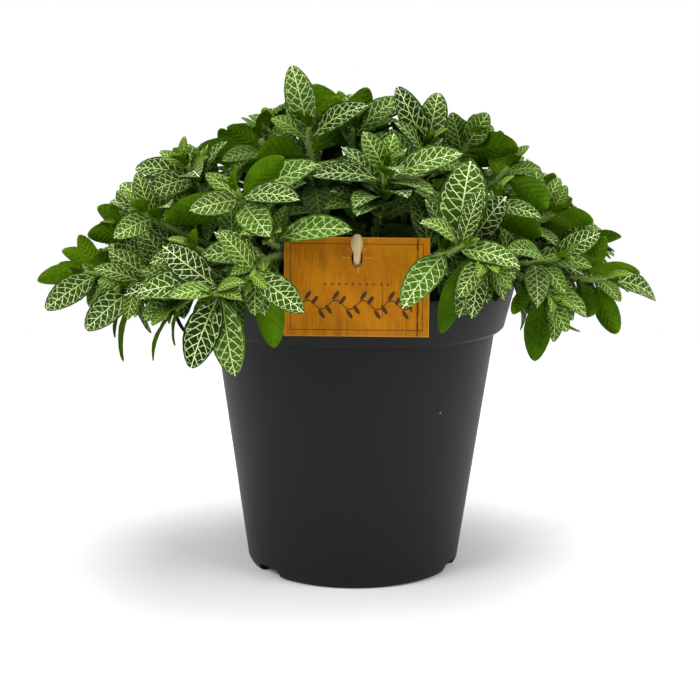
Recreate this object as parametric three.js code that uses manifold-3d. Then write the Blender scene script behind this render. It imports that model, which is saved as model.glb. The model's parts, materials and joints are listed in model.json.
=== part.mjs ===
// A potted nerve plant: a dark nursery pot filled with soil, leafy stems with opposite leaves,
// and a wood card held at the front rim by a bamboo peg.
// Millimetres, +Z up. The origin is on the ground under the middle of the pot; the front is -Y.
import * as THREE from "three";
import { mergeVertices } from "three/addons/utils/BufferGeometryUtils.js";
import Module from "manifold-3d";

const wasm = await Module();
wasm.setup();

// Pot
const POT_HEIGHT = 158;
const RIM_RADIUS = 86.4;
const COLLAR_BOTTOM = 132;
const COLLAR_FOOT_RADIUS = 80.6;
const BODY_TOP_RADIUS = 75.8;
const BODY_FOOT_RADIUS = 57.4;
const FOOT_RING_RADIUS = 53.6;
const FOOT_ROUND = 4.2;
const WALL = 1.6;
const FLOOR_HEIGHT = 6;
const NOTCH_TURNS = [-52, 68, 188];
const NOTCH_WIDTH = 18;
const NOTCH_HEIGHT = 5;
const NOTCH_ROUND = 2.5;
const NOTCH_DEPTH = 16;
const NOTCH_START = 6;
const DRAIN_HOLES = 6;
const DRAIN_RADIUS = 4.5;
const DRAIN_RING = 38;
const DRAIN_FIRST_TURN = 30;
const EDGE_ROUND = 0.8;
const STEP_ROUND = 1.2;
const FLOOR_CORNER = 2.4;
const POT_SIDES = 44;
const HOLE_SIDES = 10;
const OVERCUT = 1;

// Soil
const SOIL_EDGE = 147;
const SOIL_CROWN = 151;
const SOIL_RINGS = [58, 38, 18];
const SOIL_LUMP = { height: 0.9, alongX: 0.31, alongY: 0.37, startX: 1.7, startY: -0.6 };
const SOIL_SIDES = 24;
const SOIL_SHOULDER = 4;
const SEAT_GAP = 0.3;
const SIDE_GAP = 0.5;
const HOLE_DEPTH = 12;
const HOLE_GAP = 0.55;
const HOLE_HEADROOM = 10;

// Card and peg
const CARD_WIDTH = 71;
const CARD_HEIGHT = 48.5;
const CARD_THICKNESS = 1.2;
const CARD_FOOT = { x: 0.6, y: -91.2, z: 141.4 };
const CARD_LEAN = 5;
const CARD_HOLE_DROP = 10.2;
const CARD_HOLE = { halfWidth: 2.7, halfHeight: 4.4 };
const PEG_LEAN = 36;
const PEG_SIDES = 10;
const PEG_TOP = 15.4;

// The peg's outline from its point to its head, as [radius, height above the card's hole]. It is
// narrow where it passes the card.
const PEG_OUTLINE = [
  [0.5, -60.6], [3.1, -48.6], [3.1, -9], [1.9, -5.5], [1.9, 3.8],
  [2.5, 5.6], [3.1, 8.6], [2.9, 11.4], [1.9, 14.6],
];

// Leafy stems
const STEM_FOOT_RADIUS = 1.5;
const STEM_TIP_RADIUS = 1.05;
const STEM_SIDES = 4;
const STEM_STEPS = 5;
const STEM_POINT = 2;
const STEM_BEND_FROM = SOIL_CROWN + 2;
const STEM_CLIMB = 22;
const LOW_CROWN = 200;
const LOW_CROWN_CLIMB = 0.32;
const CROWN_LEAD = 0.36;
const FOOT_SHARE = 0.42;
const FOOT_LIMIT = 61;

// Leaf pairs from the youngest to the oldest
const PAIR_DROP = [1.5, 7, 17, 29, 44];
const PAIR_PITCH = [26, 50, 72, 88, 84];
const PAIR_LENGTH = [16, 27, 34, 36, 35];
const PAIR_SAG = [0, 0.04, 0.12, 0.24, 0.1];
const PAIR_LOOSE = { turn: 13, pitch: 9, length: 0.08, width: 0.08 };
const PAIR_LIGHT = { along: 0.9, up: 0.75 };
const LEAF_WIDTH_SHARE = 0.44;
const LEAF_ARCH = 0.11;
const LEAF_FOLD = 0.2;
const LEAF_KEEL = 0.35;
const LEAF_REACH_LIMIT = 42;
const PETIOLE_SHARE = 0.1;
const PETIOLE_HALF_WIDTH = 0.75;
const OVAL_SHIFT = 0.92;
const OVAL_BLUNT = 0.72;
const LEAF_STATIONS = [
  { below: 21, shares: [0.48] },
  { below: 30, shares: [0.34, 0.78] },
  { below: Infinity, shares: [0.24, 0.56, 0.86] },
];
const LEAF_CLEARANCE = 0.35;
const LEAST_EDGE = 0.01;
const OUTER_BLADE_FROM = 0.2;

// What a leaf tries in turn where another piece is in its way: swing and lift of its tip as
// shares of its length, and the share of its length that it keeps.
const LEAF_TRIES = [
  { swing: 0, lift: 0, keep: 1 },
  { swing: 0, lift: 0.16, keep: 1 },
  { swing: 0.2, lift: 0.04, keep: 0.98 },
  { swing: -0.2, lift: 0.05, keep: 0.97 },
  { swing: 0, lift: -0.18, keep: 0.96 },
  { swing: 0.34, lift: 0.22, keep: 0.95 },
  { swing: -0.34, lift: 0.2, keep: 0.94 },
  { swing: 0.05, lift: 0.36, keep: 0.9 },
  { swing: 0.4, lift: -0.14, keep: 0.86 },
  { swing: -0.4, lift: -0.12, keep: 0.84 },
  { swing: 0.12, lift: 0.1, keep: 0.72 },
  { swing: -0.14, lift: 0.26, keep: 0.66 },
];

// Shoots that face the viewer. crown: where the youngest leaves sit. lean: the compass turn and
// the rise of the shoot's axis in degrees. turn: the first pair's turn about that axis.
// aimed: leaves with a chosen tip, as [distance below the crown, x, y, z, face, width share].
const FRONT_SHOOTS = [
  { crown: [-25, -44, 240], lean: [-100, 75], turn: 40, size: 1, pairs: [0, 3, 4],
    aimed: [[4, -33, -47, 271, "f", 0.44], [7, 5, -52, 252, "t", 0.4],
      [7, -44, -34, 244, "t", 0.44], [15, -50, -72, 227, "b", 0.42],
      [15, -10, -28, 255, "b", 0.44]] },
  { crown: [-2, -32, 239], lean: [-85, 80], turn: 10, size: 1, pairs: [0, 3, 4],
    aimed: [[4, 5, -33, 260, "b", 0.5], [6, 22, -38, 255, "t", 0.44],
      [12, -26, -16, 265, "b", 0.46], [13, -13, -4, 266, "b", 0.34], [14, -3, 10, 256, "t", 0.42]] },
  { crown: [36, -48, 232], lean: [-70, 66], turn: 30, size: 1, pairs: [0, 3, 4],
    aimed: [[5, 20, -46, 261, "f", 0.38], [4, 41, -40, 258, "f", 0.48],
      [8, 19, -62, 244, "t", 0.38], [11, 53, -58, 221, "t", 0.5]] },
  { crown: [14, -86, 224], lean: [-82, 72], turn: 0, size: 1, pairs: [0, 4],
    aimed: [[3, 3, -92, 241, "f", 0.52], [8, -21, -90, 220, "t", 0.36],
      [5, 20, -112, 224, "u", 0.44], [8, 51, -84, 231, "t", 0.38], [14, -30, -70, 223, "u", 0.4]] },
  { crown: [51, -110, 190], lean: [-50, 32], turn: 20, size: 1, pairs: [3], foot: 0.37,
    aimed: [[6, 54, -104, 230, "f", 0.57], [7, 38, -106, 214, "f", 0.66],
      [2, 58, -116, 216, "f", 0.36], [3, 32, -122, 202, "t", 0.42],
      [7, 77, -118, 181, "t", 0.42], [13, 22, -128, 162, "t", 0.4], [13, 61, -96, 220, "r", 0.4]] },
  { crown: [99, -82, 180], lean: [-35, 25], turn: 15, size: 1, pairs: [0, 3],
    aimed: [[5, 120, -78, 192, "f", 0.44], [7, 73, -98, 186, "t", 0.46],
      [13, 88, -100, 159, "t", 0.42], [9, 117, -76, 175, "t", 0.42],
      [12, 102, -92, 164, "t", 0.42]] },
  { crown: [130, -36, 162], lean: [-15, 5], turn: 40, size: 1, pairs: [0],
    aimed: [[4, 161, -14, 149, "t", 0.38], [6, 135, -48, 136, "b", 0.4],
      [4, 135, -54, 154, "t", 0.38], [9, 129, -34, 185, "b", 0.4], [14, 120, -56, 146, "b", 0.4],
      [10, 150, -20, 164, "b", 0.4]] },
  { crown: [95, -90, 162], lean: [-60, -25], turn: 0, size: 0.95, pairs: [0, 1], foot: 0.5,
    aimed: [[6, 88, -92, 130, "b", 0.4], [5, 103, -98, 146, "f", 0.44],
      [9, 78, -98, 155, "b", 0.4], [8, 111, -84, 143, "l", 0.36]] },
  { crown: [61, -114, 182], lean: [-75, -20], turn: 25, size: 0.95, pairs: [0], foot: 0.52,
    aimed: [[4, 48, -126, 167, "f", 0.44], [7, 55, -120, 156, "f", 0.4],
      [7, 74, -112, 169, "t", 0.42], [15, 39, -104, 139, "b", 0.3]] },
  { crown: [-49, -118, 174], lean: [-102, -28], turn: 50, size: 1, pairs: [], foot: 0.54,
    aimed: [[4, -24, -131, 160, "f", 0.44], [5, -63, -118, 195, "f", 0.46],
      [9, -38, -116, 140, "b", 0.38], [2, -41, -128, 170, "f", 0.38]] },
  { crown: [-67, -116, 166], lean: [-120, 0], turn: 0, size: 1, pairs: [],
    aimed: [[6, -92, -106, 187, "f", 0.46], [4, -86, -128, 166, "t", 0.44],
      [10, -104, -110, 165, "t", 0.44], [1.5, -52, -126, 173, "t", 0.4],
      [1.5, -53, -128, 165, "t", 0.44], [7, -78, -118, 130, "f", 0.44],
      [7, -57, -116, 126, "f", 0.4]] },
  { crown: [-87, -98, 155], lean: [-125, -25], turn: 30, size: 0.9, pairs: [0], foot: 0.5,
    aimed: [[5, -99, -96, 129, "l", 0.4], [6, -87, -104, 138, "l", 0.38]] },
  { crown: [-112, -80, 164], lean: [-145, 5], turn: 0, size: 1, pairs: [0], foot: 0.46,
    aimed: [[6, -133, -84, 142, "f", 0.44], [6, -120, -78, 137, "l", 0.36],
      [10, -117, -74, 123, "l", 0.34], [4, -111, -94, 149, "f", 0.4],
      [8, -129, -78, 172, "t", 0.44]] },
  { crown: [-139, -48, 165], lean: [-170, 10], turn: 20, size: 1, pairs: [0, 3],
    aimed: [[5, -162, -54, 162, "b", 0.4], [6, -142, -42, 184, "b", 0.46],
      [8, -157, -60, 148, "f", 0.44], [9, -152, -36, 175, "b", 0.42]] },
  { crown: [-119, -40, 188], lean: [-165, 40], turn: 35, size: 1, pairs: [0, 3, 4],
    aimed: [[6, -133, -38, 198, "b", 0.52], [7, -137, -46, 183, "b", 0.5],
      [9, -122, -40, 207, "t", 0.44]] },
  { crown: [-104, -72, 199], lean: [-140, 40], turn: 0, size: 1, pairs: [0, 3, 4], foot: 0.36,
    aimed: [[5, -108, -72, 219, "f", 0.42], [6, -117, -92, 189, "f", 0.44],
      [9, -90, -96, 205, "t", 0.42], [9, -118, -58, 212, "t", 0.44]] },
  { crown: [-85, -54, 221], lean: [-135, 62], turn: 20, size: 1, pairs: [3, 4],
    aimed: [[4, -100, -50, 226, "t", 0.4], [4, -74, -60, 226, "t", 0.4],
      [8, -104, -72, 208, "f", 0.44], [9, -73, -88, 214, "f", 0.44],
      [9, -91, -30, 232, "b", 0.44], [8, -112, -48, 219, "t", 0.46]] },
  { crown: [-58, -90, 212], lean: [-115, 50], turn: 40, size: 1, pairs: [0, 4],
    aimed: [[6, -79, -104, 204, "f", 0.44], [5, -27, -106, 210, "t", 0.4],
      [9, -41, -112, 193, "f", 0.5], [5, -35, -92, 229, "b", 0.4], [11, -19, -82, 225, "t", 0.4],
      [9, -94, -94, 205, "b", 0.4], [12, -75, -76, 217, "t", 0.42]] },
  { crown: [-42, -100, 190], lean: [-100, 25], turn: 0, size: 1.1, pairs: [0], foot: 0.36,
    aimed: [[6, -2, -106, 196, "t", 0.38], [12, -34, -90, 205, "t", 0.44]] },
  { crown: [-50, -18, 232], lean: [170, 66], turn: 75, size: 1, pairs: [0, 3, 4],
    aimed: [[7, -68, -14, 238, "b", 0.48], [9, -69, -36, 222, "t", 0.4],
      [7, -31, -24, 240, "t", 0.42], [14, -85, -8, 227, "b", 0.42]] },
  { crown: [77, -46, 221], lean: [-40, 48], turn: 15, size: 1, pairs: [0, 3, 4],
    aimed: [[5, 96, -62, 202, "b", 0.44], [5, 94, -42, 220, "t", 0.44],
      [9, 73, -36, 239, "b", 0.44]] },
  { crown: [99, -54, 199], lean: [-30, 35], turn: 60, size: 1, pairs: [0, 3, 4],
    aimed: [[6, 120, -54, 195, "b", 0.44], [7, 103, -44, 216, "t", 0.4],
      [10, 114, -36, 204, "b", 0.44]] },
  { crown: [68, -84, 210], lean: [-60, 45], turn: 35, size: 1, pairs: [0, 3, 4],
    aimed: [[7, 89, -92, 201, "t", 0.4], [12, 91, -86, 192, "b", 0.42]] },
  { crown: [-77, -98, 185], lean: [-122, 30], turn: 15, size: 1, pairs: [0, 3], foot: 0.37,
    aimed: [[8, -99, -100, 178, "t", 0.44]] },
  { crown: [57, -38, 234], lean: [-35, 60], turn: 50, size: 1, pairs: [0, 3, 4],
    aimed: [[4, 66, -44, 248, "f", 0.62], [6, 69, -50, 230, "f", 0.62],
      [8, 48, -38, 248, "f", 0.5], [9, 78, -28, 223, "b", 0.5], [8, 91, -56, 219, "b", 0.42],
      [12, 61, -52, 217, "f", 0.5]] },
  { crown: [-46, 4, 236], lean: [150, 68], turn: 25, size: 0.95, pairs: [0, 3, 4],
    aimed: [] },
];

// Where the upper side of an aimed leaf looks: front, back, left, right, tilted or up.
const FACES = {
  f: [0, -1, 0.35],
  b: [0, 1, 0.25],
  l: [-1, 0, 0.2],
  r: [1, 0, 0.2],
  t: [0, -0.8, 0.8],
  u: [0, -0.3, 1],
};

// Shoots round the sides and the back, in tiers: how many stand between two compass turns, at
// which distance from the middle, how high, and how steeply their axes rise.
const TIERS = [
  { count: 9, from: 14, to: 181, radius: 127, height: 163, rise: 4, size: 1, pairs: [0, 1, 2, 3] },
  { count: 8, from: 14, to: 177, radius: 102, height: 192, rise: 32, size: 1.02, pairs: [0, 1, 2, 3, 4] },
  { count: 6, from: 12, to: 177, radius: 68, height: 221, rise: 56, size: 1.02, pairs: [0, 1, 2, 3, 4] },
  { count: 3, from: 25, to: 145, radius: 30, height: 238, rise: 76, size: 1, pairs: [0, 1, 2, 3, 4] },
  { count: 4, from: 215, to: 325, radius: 31, height: 186, rise: 56, size: 0.95, pairs: [0, 1, 2, 3] },
];
const TIER_LOOSE = { turn: 4, radius: 0.07, height: 7, compass: 14, rise: 10, size: 0.07 };
const DEPTH_SHARE = 0.94;

// Seeds of the repeatable draws
const SEED = 37;
const TIER_SEED = { first: 100, step: 20 };
const DRAW_STEPS = { plant: 1009, leaf: 131, use: 17 };
const DRAW_PRIME = 99991;
const DRAW_FACTOR = 7919;

const UP = new THREE.Vector3(0, 0, 1);
const radians = THREE.MathUtils.degToRad;

// A repeatable draw between 0 and 1 for one use at one leaf of one shoot.
function draw(shoot, leaf, use) {
  const key = SEED + shoot * DRAW_STEPS.plant + leaf * DRAW_STEPS.leaf + use * DRAW_STEPS.use;
  return ((((key * key) % DRAW_PRIME) * DRAW_FACTOR) % DRAW_PRIME) / DRAW_PRIME;
}

function spread(shoot, leaf, use, reach) {
  return (2 * draw(shoot, leaf, use) - 1) * reach;
}

// Solids and meshes

function solidOf(geometry) {
  geometry.deleteAttribute("normal");
  geometry.deleteAttribute("uv");
  const merged = mergeVertices(geometry, 1e-4);
  return new wasm.Manifold(new wasm.Mesh({
    numProp: 3,
    vertProperties: new Float32Array(merged.attributes.position.array),
    triVerts: new Uint32Array(merged.index.array),
  }));
}

function solidOfFaces(points, faces) {
  const geometry = new THREE.BufferGeometry();
  geometry.setAttribute("position", new THREE.Float32BufferAttribute(points.flat(), 3));
  geometry.setIndex(faces.flat());
  return solidOf(geometry);
}

function geometryOf(solid) {
  const mesh = solid.getMesh();
  const geometry = new THREE.BufferGeometry();
  geometry.setAttribute("position", new THREE.BufferAttribute(mesh.vertProperties, mesh.numProp));
  geometry.setIndex(new THREE.BufferAttribute(mesh.triVerts, 1));
  geometry.computeVertexNormals();
  return geometry;
}

function namedMesh(name, solid, finish) {
  const mesh = new THREE.Mesh(geometryOf(solid), new THREE.MeshStandardMaterial(finish));
  mesh.name = name;
  return mesh;
}

// A body turned about +Z from a closed outline of [radius, height] points.
function turned(outline, sides) {
  const points = outline.map(([r, z]) => new THREE.Vector2(r, z));
  const geometry = new THREE.LatheGeometry(points, sides);
  geometry.rotateX(Math.PI / 2);
  return solidOf(geometry);
}

// Pot

function quarterRound(centreR, centreZ, radius, fromDegrees, toDegrees, steps) {
  return Array.from({ length: steps + 1 }, (_, i) => {
    const a = radians(fromDegrees + ((toDegrees - fromDegrees) * i) / steps);
    return [centreR + radius * Math.cos(a), centreZ + radius * Math.sin(a)];
  });
}

// Outer radii of the tapered body and of the collar at a height.
function bodyRadius(z) {
  return THREE.MathUtils.mapLinear(z, 0, COLLAR_BOTTOM, BODY_FOOT_RADIUS, BODY_TOP_RADIUS);
}

function collarRadius(z) {
  return THREE.MathUtils.mapLinear(z, COLLAR_BOTTOM, POT_HEIGHT, COLLAR_FOOT_RADIUS, RIM_RADIUS);
}

function potSolid() {
  const floorTop = FLOOR_HEIGHT + WALL;
  const collarFloor = COLLAR_BOTTOM + WALL;
  const lean = Math.atan2(BODY_TOP_RADIUS - BODY_FOOT_RADIUS, COLLAR_BOTTOM);
  const leanDegrees = THREE.MathUtils.radToDeg(lean);
  const outline = [
    [0, FLOOR_HEIGHT],
    [FOOT_RING_RADIUS - WALL - EDGE_ROUND, FLOOR_HEIGHT],
    [FOOT_RING_RADIUS - WALL, 0],
    ...quarterRound(FOOT_RING_RADIUS, FOOT_ROUND, FOOT_ROUND, -90, -leanDegrees, 2),
    [bodyRadius(COLLAR_BOTTOM - STEP_ROUND), COLLAR_BOTTOM - STEP_ROUND],
    [BODY_TOP_RADIUS + EDGE_ROUND, COLLAR_BOTTOM - STEP_ROUND / 3],
    [COLLAR_FOOT_RADIUS - STEP_ROUND, COLLAR_BOTTOM],
    [COLLAR_FOOT_RADIUS, COLLAR_BOTTOM + STEP_ROUND],
    [RIM_RADIUS, POT_HEIGHT - STEP_ROUND],
    [RIM_RADIUS - EDGE_ROUND, POT_HEIGHT],
    [RIM_RADIUS - WALL, POT_HEIGHT - EDGE_ROUND],
    [collarRadius(collarFloor) - WALL, collarFloor + EDGE_ROUND],
    [BODY_TOP_RADIUS - WALL, collarFloor - EDGE_ROUND],
    [bodyRadius(floorTop + FLOOR_CORNER) - WALL, floorTop + FLOOR_CORNER],
    [bodyRadius(floorTop) - WALL - FLOOR_CORNER, floorTop],
    [0, floorTop],
  ];
  let pot = turned(outline, POT_SIDES);
  for (const turn of NOTCH_TURNS) pot = pot.subtract(notchCutter(turn));
  for (let i = 0; i < DRAIN_HOLES; i += 1) pot = pot.subtract(drainCutter((i * 360) / DRAIN_HOLES));
  return pot;
}

// A notch with rounded upper corners, cut outwards through the foot ring.
function notchCutter(turn) {
  const half = NOTCH_WIDTH / 2;
  const cornerX = half - NOTCH_ROUND;
  const cornerY = NOTCH_HEIGHT - NOTCH_ROUND;
  const shape = new THREE.Shape();
  shape.moveTo(-half, -OVERCUT);
  shape.lineTo(half, -OVERCUT);
  shape.lineTo(half, cornerY);
  shape.absarc(cornerX, cornerY, NOTCH_ROUND, 0, Math.PI / 2, false);
  shape.absarc(-cornerX, cornerY, NOTCH_ROUND, Math.PI / 2, Math.PI, false);
  shape.lineTo(-half, -OVERCUT);
  const geometry = new THREE.ExtrudeGeometry(shape, {
    depth: NOTCH_DEPTH, bevelEnabled: false, curveSegments: 2,
  });
  geometry.rotateX(Math.PI / 2);
  geometry.translate(0, NOTCH_START - FOOT_RING_RADIUS, 0);
  geometry.rotateZ(radians(turn));
  return solidOf(geometry);
}

function drainCutter(turn) {
  const height = WALL + 2 * OVERCUT;
  const geometry = new THREE.CylinderGeometry(DRAIN_RADIUS, DRAIN_RADIUS, height, HOLE_SIDES);
  geometry.rotateX(Math.PI / 2);
  geometry.translate(DRAIN_RING, 0, FLOOR_HEIGHT + WALL / 2);
  geometry.rotateZ(radians(turn + DRAIN_FIRST_TURN));
  return solidOf(geometry);
}

// Soil, with plain holes for the stems and the peg

function soilSolid(cutters) {
  const bottom = FLOOR_HEIGHT + WALL + SEAT_GAP;
  const step = COLLAR_BOTTOM + WALL + EDGE_ROUND + SEAT_GAP;
  const gap = WALL + SIDE_GAP;
  const outline = [
    [0, bottom],
    [bodyRadius(bottom) - gap - FLOOR_CORNER - SEAT_GAP, bottom],
    [bodyRadius(bottom + SOIL_SHOULDER) - gap, bottom + SOIL_SHOULDER],
    [bodyRadius(COLLAR_BOTTOM - EDGE_ROUND) - gap, step],
    [collarRadius(step) - gap - EDGE_ROUND, step + EDGE_ROUND],
    [collarRadius(SOIL_EDGE) - gap - SEAT_GAP, SOIL_EDGE - STEP_ROUND],
    [collarRadius(SOIL_EDGE) - gap - SOIL_SHOULDER, SOIL_EDGE],
    ...SOIL_RINGS.map((r) => [r, soilHeight(r)]),
    [0, SOIL_CROWN],
  ];
  const points = outline.map(([r, z]) => new THREE.Vector2(r, z));
  const geometry = new THREE.LatheGeometry(points, SOIL_SIDES);
  geometry.rotateX(Math.PI / 2);
  roughenTop(geometry.attributes.position);
  let soil = solidOf(geometry);
  for (const cutter of cutters) soil = soil.subtract(cutter);
  return soil;
}

function soilHeight(r) {
  const share = r / collarRadius(SOIL_EDGE);
  return SOIL_CROWN + (SOIL_EDGE - SOIL_CROWN) * share * share;
}

// Lifts and sinks the top's inner points a little, so that the soil isn't a plain dome.
function roughenTop(position) {
  const { height, alongX, alongY, startX, startY } = SOIL_LUMP;
  for (let i = 0; i < position.count; i += 1) {
    const x = position.getX(i);
    const y = position.getY(i);
    const r = Math.hypot(x, y);
    const inner = position.getZ(i) > SOIL_EDGE && r > 1 && r < COLLAR_FOOT_RADIUS - WALL - SOIL_SHOULDER;
    if (inner) {
      const lump = Math.sin(x * alongX + startX) * Math.cos(y * alongY + startY);
      position.setZ(i, position.getZ(i) + height * lump);
    }
  }
}

// Card and peg

// Places a piece built with the card's foot middle at the origin, its face to -Y.
function placeOnCard(geometry) {
  geometry.rotateX(radians(-CARD_LEAN));
  geometry.translate(CARD_FOOT.x, CARD_FOOT.y, CARD_FOOT.z);
  return geometry;
}

function cardHoleCentre() {
  const centre = new THREE.Vector3(0, 0, CARD_HEIGHT - CARD_HOLE_DROP);
  centre.applyAxisAngle(new THREE.Vector3(1, 0, 0), radians(-CARD_LEAN));
  return centre.add(new THREE.Vector3(CARD_FOOT.x, CARD_FOOT.y, CARD_FOOT.z));
}

function cardSolid() {
  const half = CARD_WIDTH / 2;
  const shape = new THREE.Shape([
    new THREE.Vector2(-half, 0),
    new THREE.Vector2(half, 0),
    new THREE.Vector2(half, CARD_HEIGHT),
    new THREE.Vector2(-half, CARD_HEIGHT),
  ]);
  const hole = new THREE.Path();
  hole.absellipse(0, CARD_HEIGHT - CARD_HOLE_DROP, CARD_HOLE.halfWidth, CARD_HOLE.halfHeight,
    0, 2 * Math.PI, false, 0);
  shape.holes.push(hole);
  const geometry = new THREE.ExtrudeGeometry(shape, {
    depth: CARD_THICKNESS, bevelEnabled: false, curveSegments: 6,
  });
  geometry.rotateX(Math.PI / 2);
  geometry.translate(0, CARD_THICKNESS / 2, 0);
  return solidOf(placeOnCard(geometry));
}

// The stick, grown by a margin all round where it cuts its own hole in the soil.
function pegShape(margin) {
  const points = [
    new THREE.Vector2(0, PEG_OUTLINE[0][1] - margin),
    ...PEG_OUTLINE.map(([r, z]) => new THREE.Vector2(r + margin, z)),
    new THREE.Vector2(0, PEG_TOP + margin),
  ];
  const geometry = new THREE.LatheGeometry(points, PEG_SIDES);
  geometry.rotateX(Math.PI / 2);
  geometry.rotateX(radians(PEG_LEAN));
  const hole = cardHoleCentre();
  geometry.translate(hole.x, hole.y, hole.z);
  return solidOf(geometry);
}

// Leafy stems

function shootList() {
  const round = TIERS.flatMap((tier, t) => Array.from({ length: tier.count }, (_, i) => {
    const key = TIER_SEED.first + t * TIER_SEED.step + i;
    const step = (tier.to - tier.from) / (tier.count - 1);
    const turn = tier.from + step * i + spread(key, 0, 0, TIER_LOOSE.turn);
    const radius = tier.radius * (1 + spread(key, 0, 1, TIER_LOOSE.radius));
    return {
      crown: [radius * Math.cos(radians(turn)), DEPTH_SHARE * radius * Math.sin(radians(turn)),
        tier.height + spread(key, 0, 2, TIER_LOOSE.height)],
      lean: [turn + spread(key, 0, 3, TIER_LOOSE.compass), tier.rise + spread(key, 0, 4, TIER_LOOSE.rise)],
      turn: draw(key, 0, 5) * 90,
      size: tier.size * (1 + spread(key, 0, 6, TIER_LOOSE.size)),
      pairs: tier.pairs,
      aimed: [],
    };
  }));
  return [...FRONT_SHOOTS, ...round].map((shoot, i) => grow(shoot, i + 1));
}

// The stem's route: straight up out of its hole, then one curve to the crown along its lean.
function grow(shoot, number) {
  const crown = new THREE.Vector3(...shoot.crown);
  const [compass, rise] = shoot.lean.map(radians);
  const axis = new THREE.Vector3(
    Math.cos(compass) * Math.cos(rise), Math.sin(compass) * Math.cos(rise), Math.sin(rise));
  const out = Math.hypot(crown.x, crown.y);
  const footRadius = Math.min(out * (shoot.foot ?? FOOT_SHARE), FOOT_LIMIT);
  const base = new THREE.Vector3(
    (crown.x * footRadius) / out, (crown.y * footRadius) / out, STEM_BEND_FROM);
  const climb = STEM_CLIMB + Math.max(0, LOW_CROWN - crown.z) * LOW_CROWN_CLIMB;
  const reach = crown.distanceTo(base);
  const curve = new THREE.CubicBezierCurve3(
    base,
    base.clone().addScaledVector(UP, climb),
    crown.clone().addScaledVector(axis, -reach * CROWN_LEAD),
    crown,
  );
  return { ...shoot, number, axis, base, curve, length: curve.getLength() };
}

// The point and the direction of the stem at a distance below its crown.
function stemAt(shoot, drop) {
  const share = Math.max(0, 1 - drop / shoot.length);
  return { point: shoot.curve.getPoint(share), along: shoot.curve.getTangent(share) };
}

function stemSolid(shoot, extra) {
  const rings = [];
  const bottom = shoot.base.clone().setZ(shoot.base.z - HOLE_DEPTH);
  rings.push({ point: bottom, along: UP.clone(), radius: STEM_FOOT_RADIUS });
  for (let i = 0; i <= STEM_STEPS; i += 1) {
    const share = i / STEM_STEPS;
    rings.push({
      point: shoot.curve.getPoint(share),
      along: shoot.curve.getTangent(share),
      radius: STEM_FOOT_RADIUS + (STEM_TIP_RADIUS - STEM_FOOT_RADIUS) * share,
    });
  }
  return tubeSolid(rings, shoot.axis, extra);
}

// A tube through rings, closed by a small cone at its far end.
function tubeSolid(rings, heading, extra) {
  const side = new THREE.Vector3().crossVectors(UP, heading).normalize();
  const points = [];
  for (const { point, along, radius } of rings) {
    const front = new THREE.Vector3().crossVectors(along, side).normalize();
    for (let i = 0; i < STEM_SIDES; i += 1) {
      const a = (2 * Math.PI * i) / STEM_SIDES;
      const spoke = side.clone().multiplyScalar(Math.cos(a)).addScaledVector(front, -Math.sin(a));
      points.push(point.clone().addScaledVector(spoke, radius + extra).toArray());
    }
  }
  const last = rings[rings.length - 1];
  points.push(last.point.clone().addScaledVector(last.along, STEM_POINT).toArray());
  points.push(rings[0].point.toArray());
  const faces = [];
  const n = STEM_SIDES;
  for (let k = 0; k + 1 < rings.length; k += 1) {
    for (let i = 0; i < n; i += 1) {
      const a = k * n + i;
      const b = k * n + ((i + 1) % n);
      faces.push([a, b + n, b], [a, a + n, b + n]);
    }
  }
  const top = (rings.length - 1) * n;
  for (let i = 0; i < n; i += 1) {
    const j = (i + 1) % n;
    faces.push([top + i, rings.length * n, top + j], [i, j, rings.length * n + 1]);
  }
  return outward(points, faces);
}

// Builds the solid, with its faces turned outwards if they point in.
function outward(points, faces) {
  const solid = solidOfFaces(points, faces);
  if (solid.volume() > 0) return solid;
  return solidOfFaces(points, faces.map(([a, b, c]) => [a, c, b]));
}

function holeCutter(shoot) {
  const radius = (STEM_FOOT_RADIUS + HOLE_GAP) / Math.cos(Math.PI / STEM_SIDES);
  const height = HOLE_DEPTH + HOLE_HEADROOM;
  const geometry = new THREE.CylinderGeometry(radius, radius, height, STEM_SIDES);
  geometry.rotateX(Math.PI / 2);
  const bottom = shoot.base.z - HOLE_DEPTH - SEAT_GAP;
  geometry.translate(shoot.base.x, shoot.base.y, bottom + height / 2);
  return solidOf(geometry);
}

// Where a leaf's root and tip lie, which way its upper face looks and how wide it is.
function pairedPlan(shoot, pair, side) {
  const leaf = pair * 2 + side;
  const { point, along } = stemAt(shoot, PAIR_DROP[pair]);
  const across = new THREE.Vector3().crossVectors(UP, along).normalize();
  const front = new THREE.Vector3().crossVectors(along, across);
  const strayed = spread(shoot.number, leaf, 0, PAIR_LOOSE.turn);
  const turn = radians(shoot.turn + pair * 90 + side * 180 + strayed);
  const outwards = across.multiplyScalar(Math.cos(turn)).addScaledVector(front, Math.sin(turn));
  const pitch = radians(PAIR_PITCH[pair] + spread(shoot.number, leaf, 1, PAIR_LOOSE.pitch));
  const heading = along.clone().multiplyScalar(Math.cos(pitch))
    .addScaledVector(outwards, Math.sin(pitch));
  heading.z -= PAIR_SAG[pair];
  heading.normalize();
  const length = PAIR_LENGTH[pair] * shoot.size * (1 + spread(shoot.number, leaf, 2, PAIR_LOOSE.length));
  return {
    root: point,
    tip: point.clone().addScaledVector(heading, length),
    light: along.clone().multiplyScalar(PAIR_LIGHT.along).addScaledVector(UP, PAIR_LIGHT.up),
    width: LEAF_WIDTH_SHARE * (1 + spread(shoot.number, leaf, 3, PAIR_LOOSE.width)),
  };
}

function aimedPlan(shoot, [drop, x, y, z, face, width]) {
  const { point } = stemAt(shoot, drop);
  const reach = new THREE.Vector3(x, y, z).sub(point).clampLength(0, LEAF_REACH_LIMIT);
  return { root: point, tip: point.clone().add(reach), light: new THREE.Vector3(...FACES[face]), width };
}

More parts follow.
